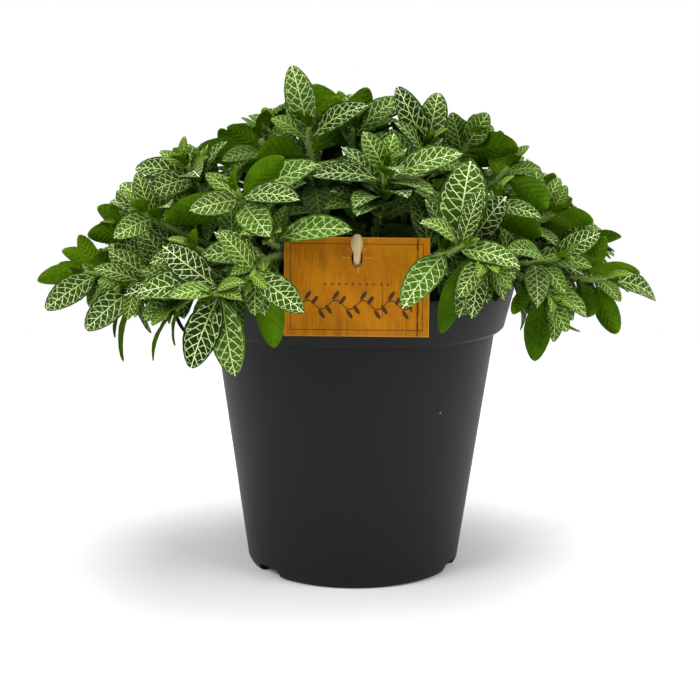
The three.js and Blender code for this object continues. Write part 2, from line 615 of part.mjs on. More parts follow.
function leafPlans(shoot) {
  const aimed = shoot.aimed.map((leaf) => ({ shoot, aimed: true, plan: aimedPlan(shoot, leaf) }));
  const paired = shoot.pairs.flatMap((pair) => [0, 1].map((side) => (
    { shoot, aimed: false, plan: pairedPlan(shoot, pair, side) }
  )));
  return [...aimed, ...paired];
}

// The plan with its tip swung aside and lifted, as one of the tries says.
function tried(plan, { swing, lift, keep }) {
  const chord = plan.tip.clone().sub(plan.root);
  const length = chord.length();
  const { across, face } = leafAxes(plan);
  chord.addScaledVector(across, swing * length).addScaledVector(face, lift * length);
  chord.setLength(length * keep);
  return { ...plan, tip: plan.root.clone().add(chord) };
}

function leafAxes({ root, tip, light }) {
  const chord = tip.clone().sub(root);
  const across = new THREE.Vector3().crossVectors(chord, light).normalize();
  const face = new THREE.Vector3().crossVectors(across, chord).normalize();
  return { chord, across, face };
}

// Half the blade's width at a share of its length: a thin stalk, then a blunt oval.
function halfWidth(share, length, width) {
  if (share <= PETIOLE_SHARE) return PETIOLE_HALF_WIDTH;
  const u = (share - PETIOLE_SHARE) / (1 - PETIOLE_SHARE);
  const oval = Math.max(0, Math.sin(Math.PI * u ** OVAL_SHIFT)) ** OVAL_BLUNT;
  return Math.max(PETIOLE_HALF_WIDTH, (width / 2) * length * oval);
}

// A blade of three-sided sections along an arched midrib: both edges rise above the keel. It
// starts at a point inside the stem and ends at its tip.
function leafSolid(plan, extra) {
  const { chord, across, face } = leafAxes(plan);
  const length = chord.length();
  const { shares } = LEAF_STATIONS.find(({ below }) => length < below);
  const points = [plan.root.toArray()];
  for (const share of shares) {
    const arch = LEAF_ARCH * length * 4 * share * (1 - share);
    const slope = LEAF_ARCH * length * 4 * (1 - 2 * share);
    const middle = plan.root.clone().addScaledVector(chord, share).addScaledVector(face, arch);
    const along = chord.clone().addScaledVector(face, slope).normalize();
    const up = new THREE.Vector3().crossVectors(across, along);
    const half = halfWidth(share, length, plan.width) + extra;
    const edge = middle.clone().addScaledVector(up, half * LEAF_FOLD + extra);
    points.push(edge.clone().addScaledVector(across, -half).toArray());
    points.push(middle.clone().addScaledVector(up, -LEAF_KEEL - extra).toArray());
    points.push(edge.clone().addScaledVector(across, half).toArray());
  }
  points.push(plan.tip.clone().addScaledVector(chord, extra / length).toArray());
  const end = points.length - 1;
  const faces = [];
  for (let i = 0; i < 3; i += 1) {
    const j = (i + 1) % 3;
    faces.push([0, 1 + i, 1 + j]);
    for (let a = 1; a + 3 < end; a += 3) {
      faces.push([a + i, a + 3 + i, a + 3 + j], [a + i, a + 3 + j, a + j]);
    }
    faces.push([end - 3 + i, end, end - 3 + j]);
  }
  return outward(points, faces);
}

// Boxes that overlap may hold solids that cross.
function boxesMeet(a, b) {
  return [0, 1, 2].every((i) => a.min[i] <= b.max[i] && b.min[i] <= a.max[i]);
}

function crossesAny(solid, others) {
  const box = solid.boundingBox();
  return others.some((other) => boxesMeet(box, other.box) && !solid.intersect(other.solid).isEmpty());
}

// Whether a joined body is one piece, with no hollow in it and no points that nearly coincide.
function isSound(solid) {
  if (solid.decompose().length > 1) return false;
  const { vertProperties, numProp } = solid.getMesh();
  const points = [];
  for (let i = 0; i < vertProperties.length; i += numProp) {
    points.push(vertProperties.subarray(i, i + 3));
  }
  points.sort((a, b) => a[0] - b[0]);
  for (let i = 0; i < points.length; i += 1) {
    for (let j = i + 1; j < points.length && points[j][0] - points[i][0] < LEAST_EDGE; j += 1) {
      const near = Math.abs(points[j][1] - points[i][1]) < LEAST_EDGE
        && Math.abs(points[j][2] - points[i][2]) < LEAST_EDGE;
      if (near) return false;
    }
  }
  return true;
}

function boxed(solid) {
  return { solid, box: solid.boundingBox() };
}

// Joins each leaf to its stem at the first try that stays clear of everything else, aimed leaves
// first. A leaf that finds no room is left out.
function leafShoots(shoots, still) {
  const grown = shoots.map((shoot) => {
    const stem = stemSolid(shoot, 0);
    return { stem: boxed(stem), body: stem, leaves: [], blades: [] };
  });
  const place = ({ shoot, plan }) => {
    const plant = grown[shoot.number - 1];
    const others = [
      ...still,
      ...grown.filter((other) => other !== plant).flatMap(({ stem, leaves }) => [stem, ...leaves]),
    ];
    for (const option of LEAF_TRIES) {
      const choice = tried(plan, option);
      const blade = outerBlade(choice);
      const clear = !crossesAny(leafSolid(choice, LEAF_CLEARANCE), others)
        && !crossesAny(blade, plant.blades);
      const leaf = leafSolid(choice, 0);
      const joined = clear ? plant.body.add(leaf) : null;
      if (joined && isSound(joined)) {
        plant.body = joined;
        plant.leaves.push(boxed(leaf));
        plant.blades.push(boxed(blade));
        return;
      }
    }
  };
  const plans = shoots.flatMap(leafPlans);
  plans.filter(({ aimed }) => aimed).forEach(place);
  plans.filter(({ aimed }) => !aimed).forEach(place);
  return grown.map(({ body }) => body);
}

// The blade past its stalk, to keep the leaves of one shoot from crossing.
function outerBlade(plan) {
  const chord = plan.tip.clone().sub(plan.root);
  const root = plan.root.clone().addScaledVector(chord, OUTER_BLADE_FROM);
  return leafSolid({ ...plan, root }, 0);
}

// The whole plant in its pot

const plant = new THREE.Group();
const shoots = shootList();
const pot = potSolid();
const soil = soilSolid([...shoots.map(holeCutter), pegShape(SEAT_GAP)]);
const card = cardSolid();
const peg = pegShape(0);
const still = [pot, soil, card, peg].map(boxed);
const leafy = leafShoots(shoots, still);

plant.add(namedMesh("pot", pot, { color: 0x2c2f2d, roughness: 0.48, metalness: 0 }));
plant.add(namedMesh("soil", soil, { color: 0x2a1d14, roughness: 0.95, metalness: 0 }));
plant.add(namedMesh("card", card, { color: 0xb67416, roughness: 0.55, metalness: 0 }));
plant.add(namedMesh("peg", peg, { color: 0xd0b388, roughness: 0.6, metalness: 0 }));
leafy.forEach((solid, i) => {
  const name = `shoot_${String(i + 1).padStart(2, "0")}`;
  plant.add(namedMesh(name, solid, { color: 0x3f6b26, roughness: 0.5, metalness: 0 }));
});

export default plant;
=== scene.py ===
"""Dresses a potted nerve plant: veined leaves on hairy stems, a nursery pot, soil, a wood card and its peg.

Every length is in millimetres until a mesh is made, where it becomes metres in the frame's axes: +X to
the right, +Y to the back, +Z up.
"""

import json
import logging
import math
from dataclasses import dataclass, field
from enum import Enum
from typing import Any, Union

import bmesh
import bpy
import numpy as np
from mathutils import Matrix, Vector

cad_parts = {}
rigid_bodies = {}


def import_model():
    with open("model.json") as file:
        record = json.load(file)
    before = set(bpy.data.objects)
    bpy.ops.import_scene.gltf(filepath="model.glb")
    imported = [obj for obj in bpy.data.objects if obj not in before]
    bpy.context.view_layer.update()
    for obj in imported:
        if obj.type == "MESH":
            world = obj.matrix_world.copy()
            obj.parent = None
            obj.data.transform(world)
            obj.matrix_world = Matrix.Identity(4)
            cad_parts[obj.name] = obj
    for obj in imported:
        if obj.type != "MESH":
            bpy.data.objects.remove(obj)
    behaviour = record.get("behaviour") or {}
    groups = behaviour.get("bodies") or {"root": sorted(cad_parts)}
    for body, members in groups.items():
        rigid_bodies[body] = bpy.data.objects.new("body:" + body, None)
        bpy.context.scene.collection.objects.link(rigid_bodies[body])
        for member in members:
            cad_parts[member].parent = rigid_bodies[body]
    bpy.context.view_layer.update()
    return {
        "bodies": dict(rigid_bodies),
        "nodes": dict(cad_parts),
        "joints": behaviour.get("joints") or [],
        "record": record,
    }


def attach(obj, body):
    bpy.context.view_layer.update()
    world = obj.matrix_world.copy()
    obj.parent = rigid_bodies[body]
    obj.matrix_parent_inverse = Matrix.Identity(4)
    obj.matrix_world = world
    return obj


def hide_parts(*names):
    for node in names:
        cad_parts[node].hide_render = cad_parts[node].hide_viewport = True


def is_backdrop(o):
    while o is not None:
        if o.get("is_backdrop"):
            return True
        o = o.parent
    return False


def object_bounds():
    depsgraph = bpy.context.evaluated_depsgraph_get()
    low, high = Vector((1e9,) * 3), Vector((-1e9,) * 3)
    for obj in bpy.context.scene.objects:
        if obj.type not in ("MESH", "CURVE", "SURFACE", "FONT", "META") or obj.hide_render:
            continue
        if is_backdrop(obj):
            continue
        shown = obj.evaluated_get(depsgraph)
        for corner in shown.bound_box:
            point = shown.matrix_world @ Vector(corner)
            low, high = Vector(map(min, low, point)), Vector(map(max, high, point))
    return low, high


LOG = logging.getLogger("nerve_plant")
MM = 0.001
ROOT_BODY = "root"
UP = np.array([0.0, 0.0, 1.0])
# Slants that give a direction a sideways one by their cross product
STEM_ASIDE = np.array([0.31, 0.87, 0.11])
HAIR_ASIDE = np.array([0.2, 0.5, 0.84])
LAMP_ASIDE = np.array([0.03, 1.0, 0.1])
Colour = tuple[float, float, float]
Point = tuple[float, float, float]
Span = tuple[float, float]
Value = Union["Wire", float, tuple]


def unit(v: np.ndarray) -> np.ndarray:
    """Vectors scaled to length 1."""
    return v / np.maximum(np.linalg.norm(v, axis=-1, keepdims=True), 1e-12)


def fetched(items: Any, name: str, width: int = 1, kind: type = np.float32) -> np.ndarray:
    """One property of many of a mesh's items, with a row for each item where it has several numbers."""
    values = np.zeros(len(items) * width, kind)
    items.foreach_get(name, values)
    return values.reshape(-1, width) if width > 1 else values


def linked(name: str, data: bpy.types.ID) -> bpy.types.Object:
    """A new object of some data, linked to the scene."""
    made = bpy.data.objects.new(name, data)
    bpy.context.scene.collection.objects.link(made)
    return made


# Materials as expressions


class Wire:
    """A socket's value, so that Python arithmetic on it adds the material's Math nodes."""

    def __init__(self, recipe: "Recipe", socket: bpy.types.NodeSocket) -> None:
        """Keeps the recipe that owns the socket."""
        self.recipe = recipe
        self.socket = socket

    def __add__(self, other: Value) -> "Wire":
        """Sum."""
        return self.recipe.math("ADD", self, other)

    __radd__ = __add__

    def __mul__(self, other: Value) -> "Wire":
        """Product."""
        return self.recipe.math("MULTIPLY", self, other)

    __rmul__ = __mul__

    def __sub__(self, other: Value) -> "Wire":
        """Difference."""
        return self.recipe.math("SUBTRACT", self, other)

    def __rsub__(self, other: Value) -> "Wire":
        """Difference from a number."""
        return self.recipe.math("SUBTRACT", other, self)

    def __truediv__(self, other: Value) -> "Wire":
        """Quotient."""
        return self.recipe.math("DIVIDE", self, other)

    def __pow__(self, other: Value) -> "Wire":
        """Power."""
        return self.recipe.math("POWER", self, other)

    def __gt__(self, other: Value) -> "Wire":
        """1 where it is greater."""
        return self.recipe.math("GREATER_THAN", self, other)

    def __lt__(self, other: Value) -> "Wire":
        """1 where it is less."""
        return self.recipe.math("LESS_THAN", self, other)

    def __abs__(self) -> "Wire":
        """Size without its sign."""
        return self.recipe.math("ABSOLUTE", self)


class Recipe:
    """One material's or world's node tree, with one method that adds any node to it."""

    def __init__(self, name: str, family: Any = None) -> None:
        """Makes an empty material, or something of another family that holds nodes."""
        self.owner = (bpy.data.materials if family is None else family).new(name)
        self.owner.use_nodes = True
        self.tree = self.owner.node_tree
        self.tree.nodes.clear()

    def node(
        self,
        kind: str,
        settings: dict[str, Any] | None = None,
        inputs: dict[int | str, Any] | None = None,
        out: int | str = 0,
    ) -> Wire:
        """Adds a node.

        Args:
            kind: the node's type.
            settings: its own settings, set before its sockets.
            inputs: socket names or numbers, with values or wires.
            out: which output is returned.

        Returns:
            The wire of that output, which carries nothing where the node ends the tree.
        """
        made = self.tree.nodes.new(kind)
        for name, value in (settings or {}).items():
            setattr(made, name, value)
        for key, value in (inputs or {}).items():
            if isinstance(value, Wire):
                self.tree.links.new(value.socket, made.inputs[key])
            else:
                made.inputs[key].default_value = value
        return Wire(self, made.outputs[out] if len(made.outputs) else None)

    def math(self, operation: str, *values: Value) -> Wire:
        """One Math node on one to three values."""
        return self.node("ShaderNodeMath", {"operation": operation}, dict(enumerate(values)))

    def largest(self, *values: Value) -> Wire:
        """The greatest of several values."""
        best = values[0]
        for value in values[1:]:
            best = self.math("MAXIMUM", best, value)
        return best

    def step(self, value: Value, low: Value, high: Value) -> Wire:
        """A smooth step from 0 at low to 1 at high."""
        return self.node(
            "ShaderNodeMapRange",
            {"interpolation_type": "SMOOTHSTEP"},
            {"Value": value, "From Min": low, "From Max": high},
        )

    def blend(self, share: Value, start: Value, end: Value) -> Wire:
        """A colour from start to end."""
        colours = {6: start, 7: end}
        full = {k: v if isinstance(v, Wire) else (*v, 1.0) for k, v in colours.items()}
        return self.node("ShaderNodeMix", {"data_type": "RGBA"}, {0: share, **full}, out=2)

    def place(self) -> Wire:
        """Object coordinates."""
        return self.node("ShaderNodeTexCoord", out="Object")

    def parts(self, vector: Wire) -> tuple[Wire, Wire, Wire]:
        """A vector's three numbers."""
        outputs = self.node("ShaderNodeSeparateXYZ", None, {0: vector}).socket.node.outputs
        return Wire(self, outputs[0]), Wire(self, outputs[1]), Wire(self, outputs[2])

    def flat_map(self, name: str) -> tuple[Wire, Wire]:
        """The two numbers of a UV map: along the piece and across it or round it."""
        along, across, _ = self.parts(self.node("ShaderNodeUVMap", {"uv_map": name}))
        return along, across

    def vector(self, x: Value, y: Value, z: Value) -> Wire:
        """A vector from three numbers."""
        return self.node("ShaderNodeCombineXYZ", None, {0: x, 1: y, 2: z})

    def attribute(self, name: str) -> Wire:
        """A number stored on the mesh."""
        return self.node("ShaderNodeAttribute", {"attribute_name": name}, out="Fac")

    def noise(
        self, vector: Wire, scale: float = 1.0, detail: float = 2.0, roughness: float = 0.5
    ) -> Wire:
        """Smooth noise from 0 to 1."""
        inputs = {"Vector": vector, "Scale": scale, "Detail": detail, "Roughness": roughness}
        return self.node("ShaderNodeTexNoise", None, inputs)

    def cells(self, vector: Wire, scale: float) -> Wire:
        """The distance to the middle of the nearest of many uneven cells."""
        return self.node("ShaderNodeTexVoronoi", {"feature": "F1"}, {"Vector": vector, "Scale": scale})

    def cell_chance(self, vector: Wire, scale: float) -> Wire:
        """A random number from 0 to 1 for each uneven cell."""
        inputs = {"Vector": vector, "Scale": scale}
        return self.parts(self.node("ShaderNodeTexVoronoi", {"feature": "F1"}, inputs, out="Color"))[0]

    def bump(self, height: Value, depth: float, strength: float = 1.0) -> Wire:
        """A normal raised by a height of 0 to 1 over a depth in millimetres."""
        inputs = {"Height": height, "Distance": depth * MM, "Strength": strength}
        return self.node("ShaderNodeBump", None, inputs)

    def finish(
        self, colour: Value, roughness: Value, normal: Wire | None = None, **fixed: Any
    ) -> bpy.types.Material:
        """Ends the tree in a Principled shader.

        Args:
            colour: the base colour.
            roughness: its roughness.
            normal: a bumped normal, if it has one.
            fixed: plain values of other sockets, with _ for a space.

        Returns:
            The finished material.
        """
        inputs: dict[str, Any] = {
            "Base Color": colour if isinstance(colour, Wire) else (*colour, 1.0),
            "Roughness": roughness,
        }
        inputs.update({key.replace("_", " "): value for key, value in fixed.items()})
        if normal is not None:
            inputs["Normal"] = normal
        shader = self.node("ShaderNodeBsdfPrincipled", None, inputs)
        self.node("ShaderNodeOutputMaterial", None, {"Surface": shader})
        return self.owner


# Meshes from arrays

POLE_MAP = [[0, 0.5], [1, 0.5]]


class Coat(Enum):
    """The four finishes of a leafy stem, by their place in its slots."""

    UPPER = 0
    UNDER = 1
    STEM = 2
    HAIR = 3


@dataclass
class MeshParts:
    """Vertices and faces gathered from several surfaces, with what their materials read."""

    points: list[np.ndarray] = field(default_factory=list)
    maps: list[np.ndarray] = field(default_factory=list)
    youth: list[np.ndarray] = field(default_factory=list)
    seed: list[np.ndarray] = field(default_factory=list)
    quads: list[np.ndarray] = field(default_factory=list)
    quad_coats: list[np.ndarray] = field(default_factory=list)
    tris: list[np.ndarray] = field(default_factory=list)
    tri_coats: list[np.ndarray] = field(default_factory=list)
    edges: list[np.ndarray] = field(default_factory=list)
    count: int = 0
    middle: Point = (0.0, 0.0, 150.0)
    reach: Point = (160.0, 131.0, 121.0)
    shaded: Span = (0.6, 1.0)

    def add(
        self,
        points: np.ndarray,
        maps: np.ndarray,
        youth: np.ndarray,
        seed: np.ndarray,
        quads: np.ndarray,
        quad_coats: np.ndarray,
        tris: np.ndarray,
        tri_coats: np.ndarray,
        margin: np.ndarray | None = None,
    ) -> None:
        """Adds one surface.

        Args:
            points: its vertices.
            maps: a UV pair for each vertex.
            youth: 1 at a bud's vertices, 0 at a grown leaf's.
            seed: a number of its own for each leaf, at its vertices.
            quads: four-sided faces.
            quad_coats: the slot of each.
            tris: three-sided faces.
            tri_coats: the slot of each.
            margin: 1 or 2 at vertices of a left or right edge that stays sharp.
        """
        self.points.append(points)
        self.maps.append(maps)
        self.youth.append(youth)
        self.seed.append(seed)
        self.quads.append(quads + self.count)
        self.quad_coats.append(quad_coats)
        self.tris.append(tris + self.count)
        self.tri_coats.append(tri_coats)
        self.edges.append(np.zeros(len(points), int) if margin is None else margin)
        self.count += len(points)

    def mesh(self, name: str, low: np.ndarray, high: np.ndarray) -> bpy.types.Mesh:
        """Makes the mesh, kept inside a box, with a UV map and its attributes.

        The shade attribute falls from 1 inside the canopy to 0 at its outside: it goes by the distance
        from the middle, in parts of the canopy's reach, between the two shares of shaded. The materials
        darken colour by it: painted shade deep in the canopy.

        Args:
            name: the mesh's name.
            low: the box's lowest corner, in metres.
            high: its highest corner.

        Returns:
            The mesh.
        """
        points = np.clip(np.concatenate(self.points) * MM, low, high)
        maps = np.concatenate(self.maps)
        quads = np.concatenate(self.quads)
        tris = np.concatenate(self.tris)
        corners = np.concatenate([quads.ravel(), tris.ravel()]).astype(np.int32)
        starts = np.concatenate([np.arange(len(quads)) * 4, len(quads) * 4 + np.arange(len(tris)) * 3])
        mesh = bpy.data.meshes.new(name)
        mesh.vertices.add(len(points))
        mesh.vertices.foreach_set("co", points.astype(np.float32).ravel())
        mesh.loops.add(len(corners))
        mesh.loops.foreach_set("vertex_index", corners)
        mesh.polygons.add(len(starts))
        mesh.polygons.foreach_set("loop_start", starts.astype(np.int32))
        coats = np.concatenate(self.quad_coats + self.tri_coats)
        mesh.polygons.foreach_set("material_index", coats.astype(np.int32))
        mesh.update(calc_edges=True)
        mesh.uv_layers.new(name="leaf").uv.foreach_set("vector", maps[corners].astype(np.float32).ravel())
        # Painted shade: darker towards the canopy's middle, where the leaves shade each other
        out = np.linalg.norm((points / MM - self.middle) / self.reach, axis=1)
        deepest, brightest = self.shaded
        shade = 1 - np.clip((out - deepest) / (brightest - deepest), 0, 1)
        values = {"youth": np.concatenate(self.youth), "seed": np.concatenate(self.seed), "shade": shade}
        for label, value in values.items():
            layer = mesh.attributes.new(label, "FLOAT", "POINT")
            layer.data.foreach_set("value", value.astype(np.float32))
        side = np.concatenate(self.edges)[fetched(mesh.edges, "vertices", 2, np.int32)]
        sharp = (side[:, 0] > 0) & (side[:, 0] == side[:, 1])
        mesh.attributes.new("sharp_edge", "BOOLEAN", "EDGE").data.foreach_set("value", sharp)
        mesh.validate()
        return mesh


def tube_faces(rings: int, around: int) -> tuple[np.ndarray, np.ndarray]:
    """Faces of a closed tube of rings with a pole at each end.

    Vertex r * around + c is column c of ring r. The two poles follow the rings.

    Args:
        rings: how many rings.
        around: how many columns.

    Returns:
        The quads, and the triangles at the poles.
    """
    column = np.arange(around)
    after = (column + 1) % around
    ring = (np.arange(rings - 1) * around)[:, None]
    quads = np.stack([ring + column, ring + after, ring + around + after, ring + around + column], -1)
    first = np.stack([np.full(around, rings * around), after, column], -1)
    top = (rings - 1) * around
    last = np.stack([np.full(around, rings * around + 1), top + column, top + after], -1)
    return quads.reshape(-1, 4), np.concatenate([first, last])


def repeated(faces: np.ndarray, copies: int, stride: int) -> np.ndarray:
    """The same faces for each of several copies whose vertices lie a stride apart."""
    return (faces[None] + (np.arange(copies) * stride)[:, None, None]).reshape(-1, faces.shape[1])


# Leaves and stems


@dataclass
class LeafSet:
    """Leaves of one stem: arrays with one row for each leaf."""

    root: np.ndarray
    chord: np.ndarray
    face: np.ndarray
    length: np.ndarray
    width: np.ndarray
    youth: np.ndarray

    def joined(self, *others: "LeafSet") -> "LeafSet":
        """This set and others as one."""
        columns = zip(*(vars(one).values() for one in (self, *others)))
        return LeafSet(*(np.concatenate(column) for column in columns))

    def only(self, index: int) -> "LeafSet":
        """A set of one of its leaves."""
        return LeafSet(*(column[index : index + 1] for column in vars(self).values()))


@dataclass(frozen=True)
class LeafForm:
    """How the CAD blades are drawn, so that the finer ones keep their form."""

    arch: float = 0.11
    fold: float = 0.2
    keel: float = 0.35
    petiole_share: float = 0.1
    petiole_half_width: float = 0.75
    oval_shift: float = 0.92
    oval_blunt: float = 0.72
    stations: tuple[tuple[float, ...], ...] = ((0.48, 0, 21), (0.78, 21, 30), (0.86, 30, 99))

    def oval(self, share: np.ndarray) -> np.ndarray:
        """Half the width at a share of the length, as a part of the greatest half width.

        u runs from 0 at the end of the stalk to 1 at the tip, and the width is the sine of half a turn
        of u to the power of oval_shift, raised to oval_blunt.
        """
        u = np.clip((share - self.petiole_share) / (1 - self.petiole_share), 0, 1)
        return np.maximum(0, np.sin(math.pi * u**self.oval_shift)) ** self.oval_blunt


@dataclass
class ShootReader:
    """Reads the leaves and the stem's route of one shoot from its CAD node."""

    node: bpy.types.Object
    form: LeafForm
    hole_bottom: float = 141.0
    climb: float = 22.0
    low_crown: float = 200.0
    low_climb: float = 0.32
    close: float = 0.02
    same: float = 0.004
    slack: float = 0.5
    youngest: float = 16.0
    oldest: float = 26.0
    least_step: float = 2.5
    near_root: float = 12.0
    over_crown: float = 4.0
    route_points: int = 16

    def __post_init__(self) -> None:
        """Merges a copy of the node's loose triangles."""
        mesh = self.node.data
        points = fetched(mesh.vertices, "co", 3)
        mesh.calc_loop_triangles()
        faces = fetched(mesh.loop_triangles, "vertices", 3, np.int32)
        rounded = np.round(points.astype(float) / MM, 3)
        self.points, merged = np.unique(rounded, axis=0, return_inverse=True)
        self.faces = merged.reshape(-1)[faces]

    def neighbours(self, vertex: int) -> np.ndarray:
        """The vertices that share a face with one."""
        near = np.unique(self.faces[(self.faces == vertex).any(1)])
        return near[near != vertex]

    def leaves(self) -> LeafSet:
        """Finds each leaf from its tip and the last section's three corners.

        A tip has three faces. Of its three neighbours two are equally far, the edges, and the third is
        the keel. They give the section's middle and its up direction. The chord and the arch follow from
        the share of the length at which that section lies.

        Returns:
            The leaves that were found.
        """
        rows = []
        for tip in np.nonzero(np.bincount(self.faces.ravel(), minlength=len(self.points)) == 3)[0]:
            near = self.neighbours(tip)
            if len(near) == 3:
                row = self.leaf_at(self.points[tip], self.points[near])
                if row is not None:
                    rows.append(row)
        root, chord, face, length, width = (np.array(column) for column in zip(*rows))
        youth = np.clip((self.oldest - length) / (self.oldest - self.youngest), 0, 1)
        return LeafSet(root, chord, face, length, width, youth)

    def leaf_at(self, tip: np.ndarray, near: np.ndarray) -> tuple | None:
        """One leaf from its tip and its last section.

        Args:
            tip: the tip.
            near: the section's three corners.

        Returns:
            Root, chord, face, length and width share, or None where the corners are no leaf's.
        """
        reach = np.linalg.norm(near - tip, axis=1)
        uneven = [abs(reach[(k + 1) % 3] - reach[(k + 2) % 3]) for k in range(3)]
        keel = int(np.argmax([gap < self.same for gap in uneven]))
        left, right = near[(keel + 1) % 3], near[(keel + 2) % 3]
        if uneven[keel] > self.same:
            return None
        half = np.linalg.norm(right - left) / 2
        middle = (left + right) / 2
        rise = np.linalg.norm(middle - near[keel])
        if abs(rise - half * self.form.fold - self.form.keel) > self.close:
            return None
        up = (middle - near[keel]) / rise
        centre = near[keel] + up * self.form.keel
        along = np.cross((right - left) / (2 * half), up)
        along = along if along @ (tip - centre) > 0 else -along
        gap = tip - centre
        for share, least, most in self.form.stations:
            drop = 4 * self.form.arch * share
            slope = 4 * self.form.arch * (1 - 2 * share)
            face = (up + slope * along) / math.hypot(1, slope)
            chord = (along - slope * up) / math.hypot(1, slope)
            length = np.linalg.norm(gap) / ((1 - share) * math.hypot(1, drop))
            miss = np.linalg.norm(unit(gap) - (chord - drop * face) / math.hypot(1, drop))
            if miss < self.close and least - self.slack <= length < most + self.slack:
                oval = float(self.form.oval(np.array(share)))
                return tip - chord * length, chord, face, length, 2 * half / (length * oval)
        return None

    def route(self, leaves: LeafSet) -> np.ndarray:
        """The stem's centre line.

        The rings near the foot lie on a cubic curve at shares 0, 0.2 and 0.4 of its parameter. Its first
        two points are known, so two rings give its last two. Where a leaf hides them, the line goes
        through the leaves' roots.

        Args:
            leaves: the shoot's leaves.

        Returns:
            Points from the bottom of the stem to its crown.
        """
        low = set(np.nonzero(abs(self.points[:, 2] - self.hole_bottom) < self.same)[0])
        rings = []
        seen, ring = set(low), low
        for _ in range(3):
            fresh = set().union(*(set(self.neighbours(i)) for i in ring)) - seen
            if len(fresh) != 4:
                break
            rings.append(self.points[sorted(fresh)].mean(0))
            seen, ring = seen | fresh, fresh
        foot = rings[0]
        below = foot * [1, 1, 0] + UP * self.hole_bottom
        t = np.linspace(0, 1, self.route_points - 1)[:, None]
        if len(rings) == 3:
            curve = self.cubic(foot, rings[1], rings[2], t)
            if np.linalg.norm(curve[-1] - leaves.root, axis=1).min() < self.near_root:
                return np.concatenate([[below], curve])
        order = np.argsort(np.linalg.norm(leaves.root - foot, axis=1))
        higher = np.reshape(rings[1:], (-1, 3))
        line = np.concatenate([[below, foot], higher, leaves.root[order]])
        apart = np.linalg.norm(np.diff(line, axis=0), axis=1) > self.least_step
        line = line[np.concatenate([[True], apart])]
        line = np.concatenate([line, [line[-1] + self.over_crown * unit(line[-1] - line[-2])]])
        return through(line, self.route_points)

    def cubic(self, foot: np.ndarray, first: np.ndarray, second: np.ndarray, t: np.ndarray) -> np.ndarray:
        """A cubic curve from its foot and its points at shares 0.2 and 0.4.

        Args:
            foot: its start.
            first: its point at 0.2.
            second: its point at 0.4.
            t: the shares wanted.

        Returns:
            The points there.
        """
        shares = np.array([0.2, 0.4])
        weights = np.stack([(1 - shares) ** 3, 3 * (1 - shares) ** 2 * shares], 1)
        free = np.stack([3 * (1 - shares) * shares**2, shares**3], 1)
        start = np.stack([foot, foot + UP * self.climb])
        left = np.stack([first, second]) - weights @ start
        ends = np.linalg.solve(free, left)
        if ends[1, 2] < self.low_crown:
            tilt = free.copy()
            tilt[:, 1] -= weights[:, 1] * self.low_climb
            rest = left[:, 2] - weights[:, 1] * self.low_crown * self.low_climb
            ends[:, 2] = np.linalg.solve(tilt, rest)
            start[1, 2] = foot[2] + self.climb + (self.low_crown - ends[1, 2]) * self.low_climb
        controls = np.concatenate([start, ends])
        basis = np.concatenate([(1 - t) ** 3, 3 * (1 - t) ** 2 * t, 3 * (1 - t) * t**2, t**3], 1)
        return basis @ controls


def through(line: np.ndarray, count: int) -> np.ndarray:
    """Points evenly along a smooth curve that passes through given ones.

    Each stretch is a Catmull-Rom cubic of its two ends and the points before and after them.

    Args:
        line: the given points.
        count: how many points are wanted.

    Returns:
        The curve's points.
    """
    padded = np.concatenate([[2 * line[0] - line[1]], line, [2 * line[-1] - line[-2]]])
    at = np.linspace(0, len(line) - 1, count)
    k = np.minimum(at.astype(int), len(line) - 2)
    s = (at - k)[:, None]
    a, b, c, d = (padded[k + i] for i in range(4))
    return 0.5 * (2 * b + (c - a) * s + (2 * a - 5 * b + 4 * c - d) * s**2 + (3 * b - a - 3 * c + d) * s**3)


def run_along(line: np.ndarray) -> np.ndarray:
    """The length of a line from its start up to each of its points."""
    return np.concatenate([[0], np.cumsum(np.linalg.norm(np.diff(line, axis=0), axis=1))])


def between(at: np.ndarray | float, run: np.ndarray, rows: np.ndarray) -> np.ndarray:
    """Rows that belong to the lengths in run, read at other lengths in between."""
    return np.stack([np.interp(at, run, rows[:, i]) for i in range(3)], -1)


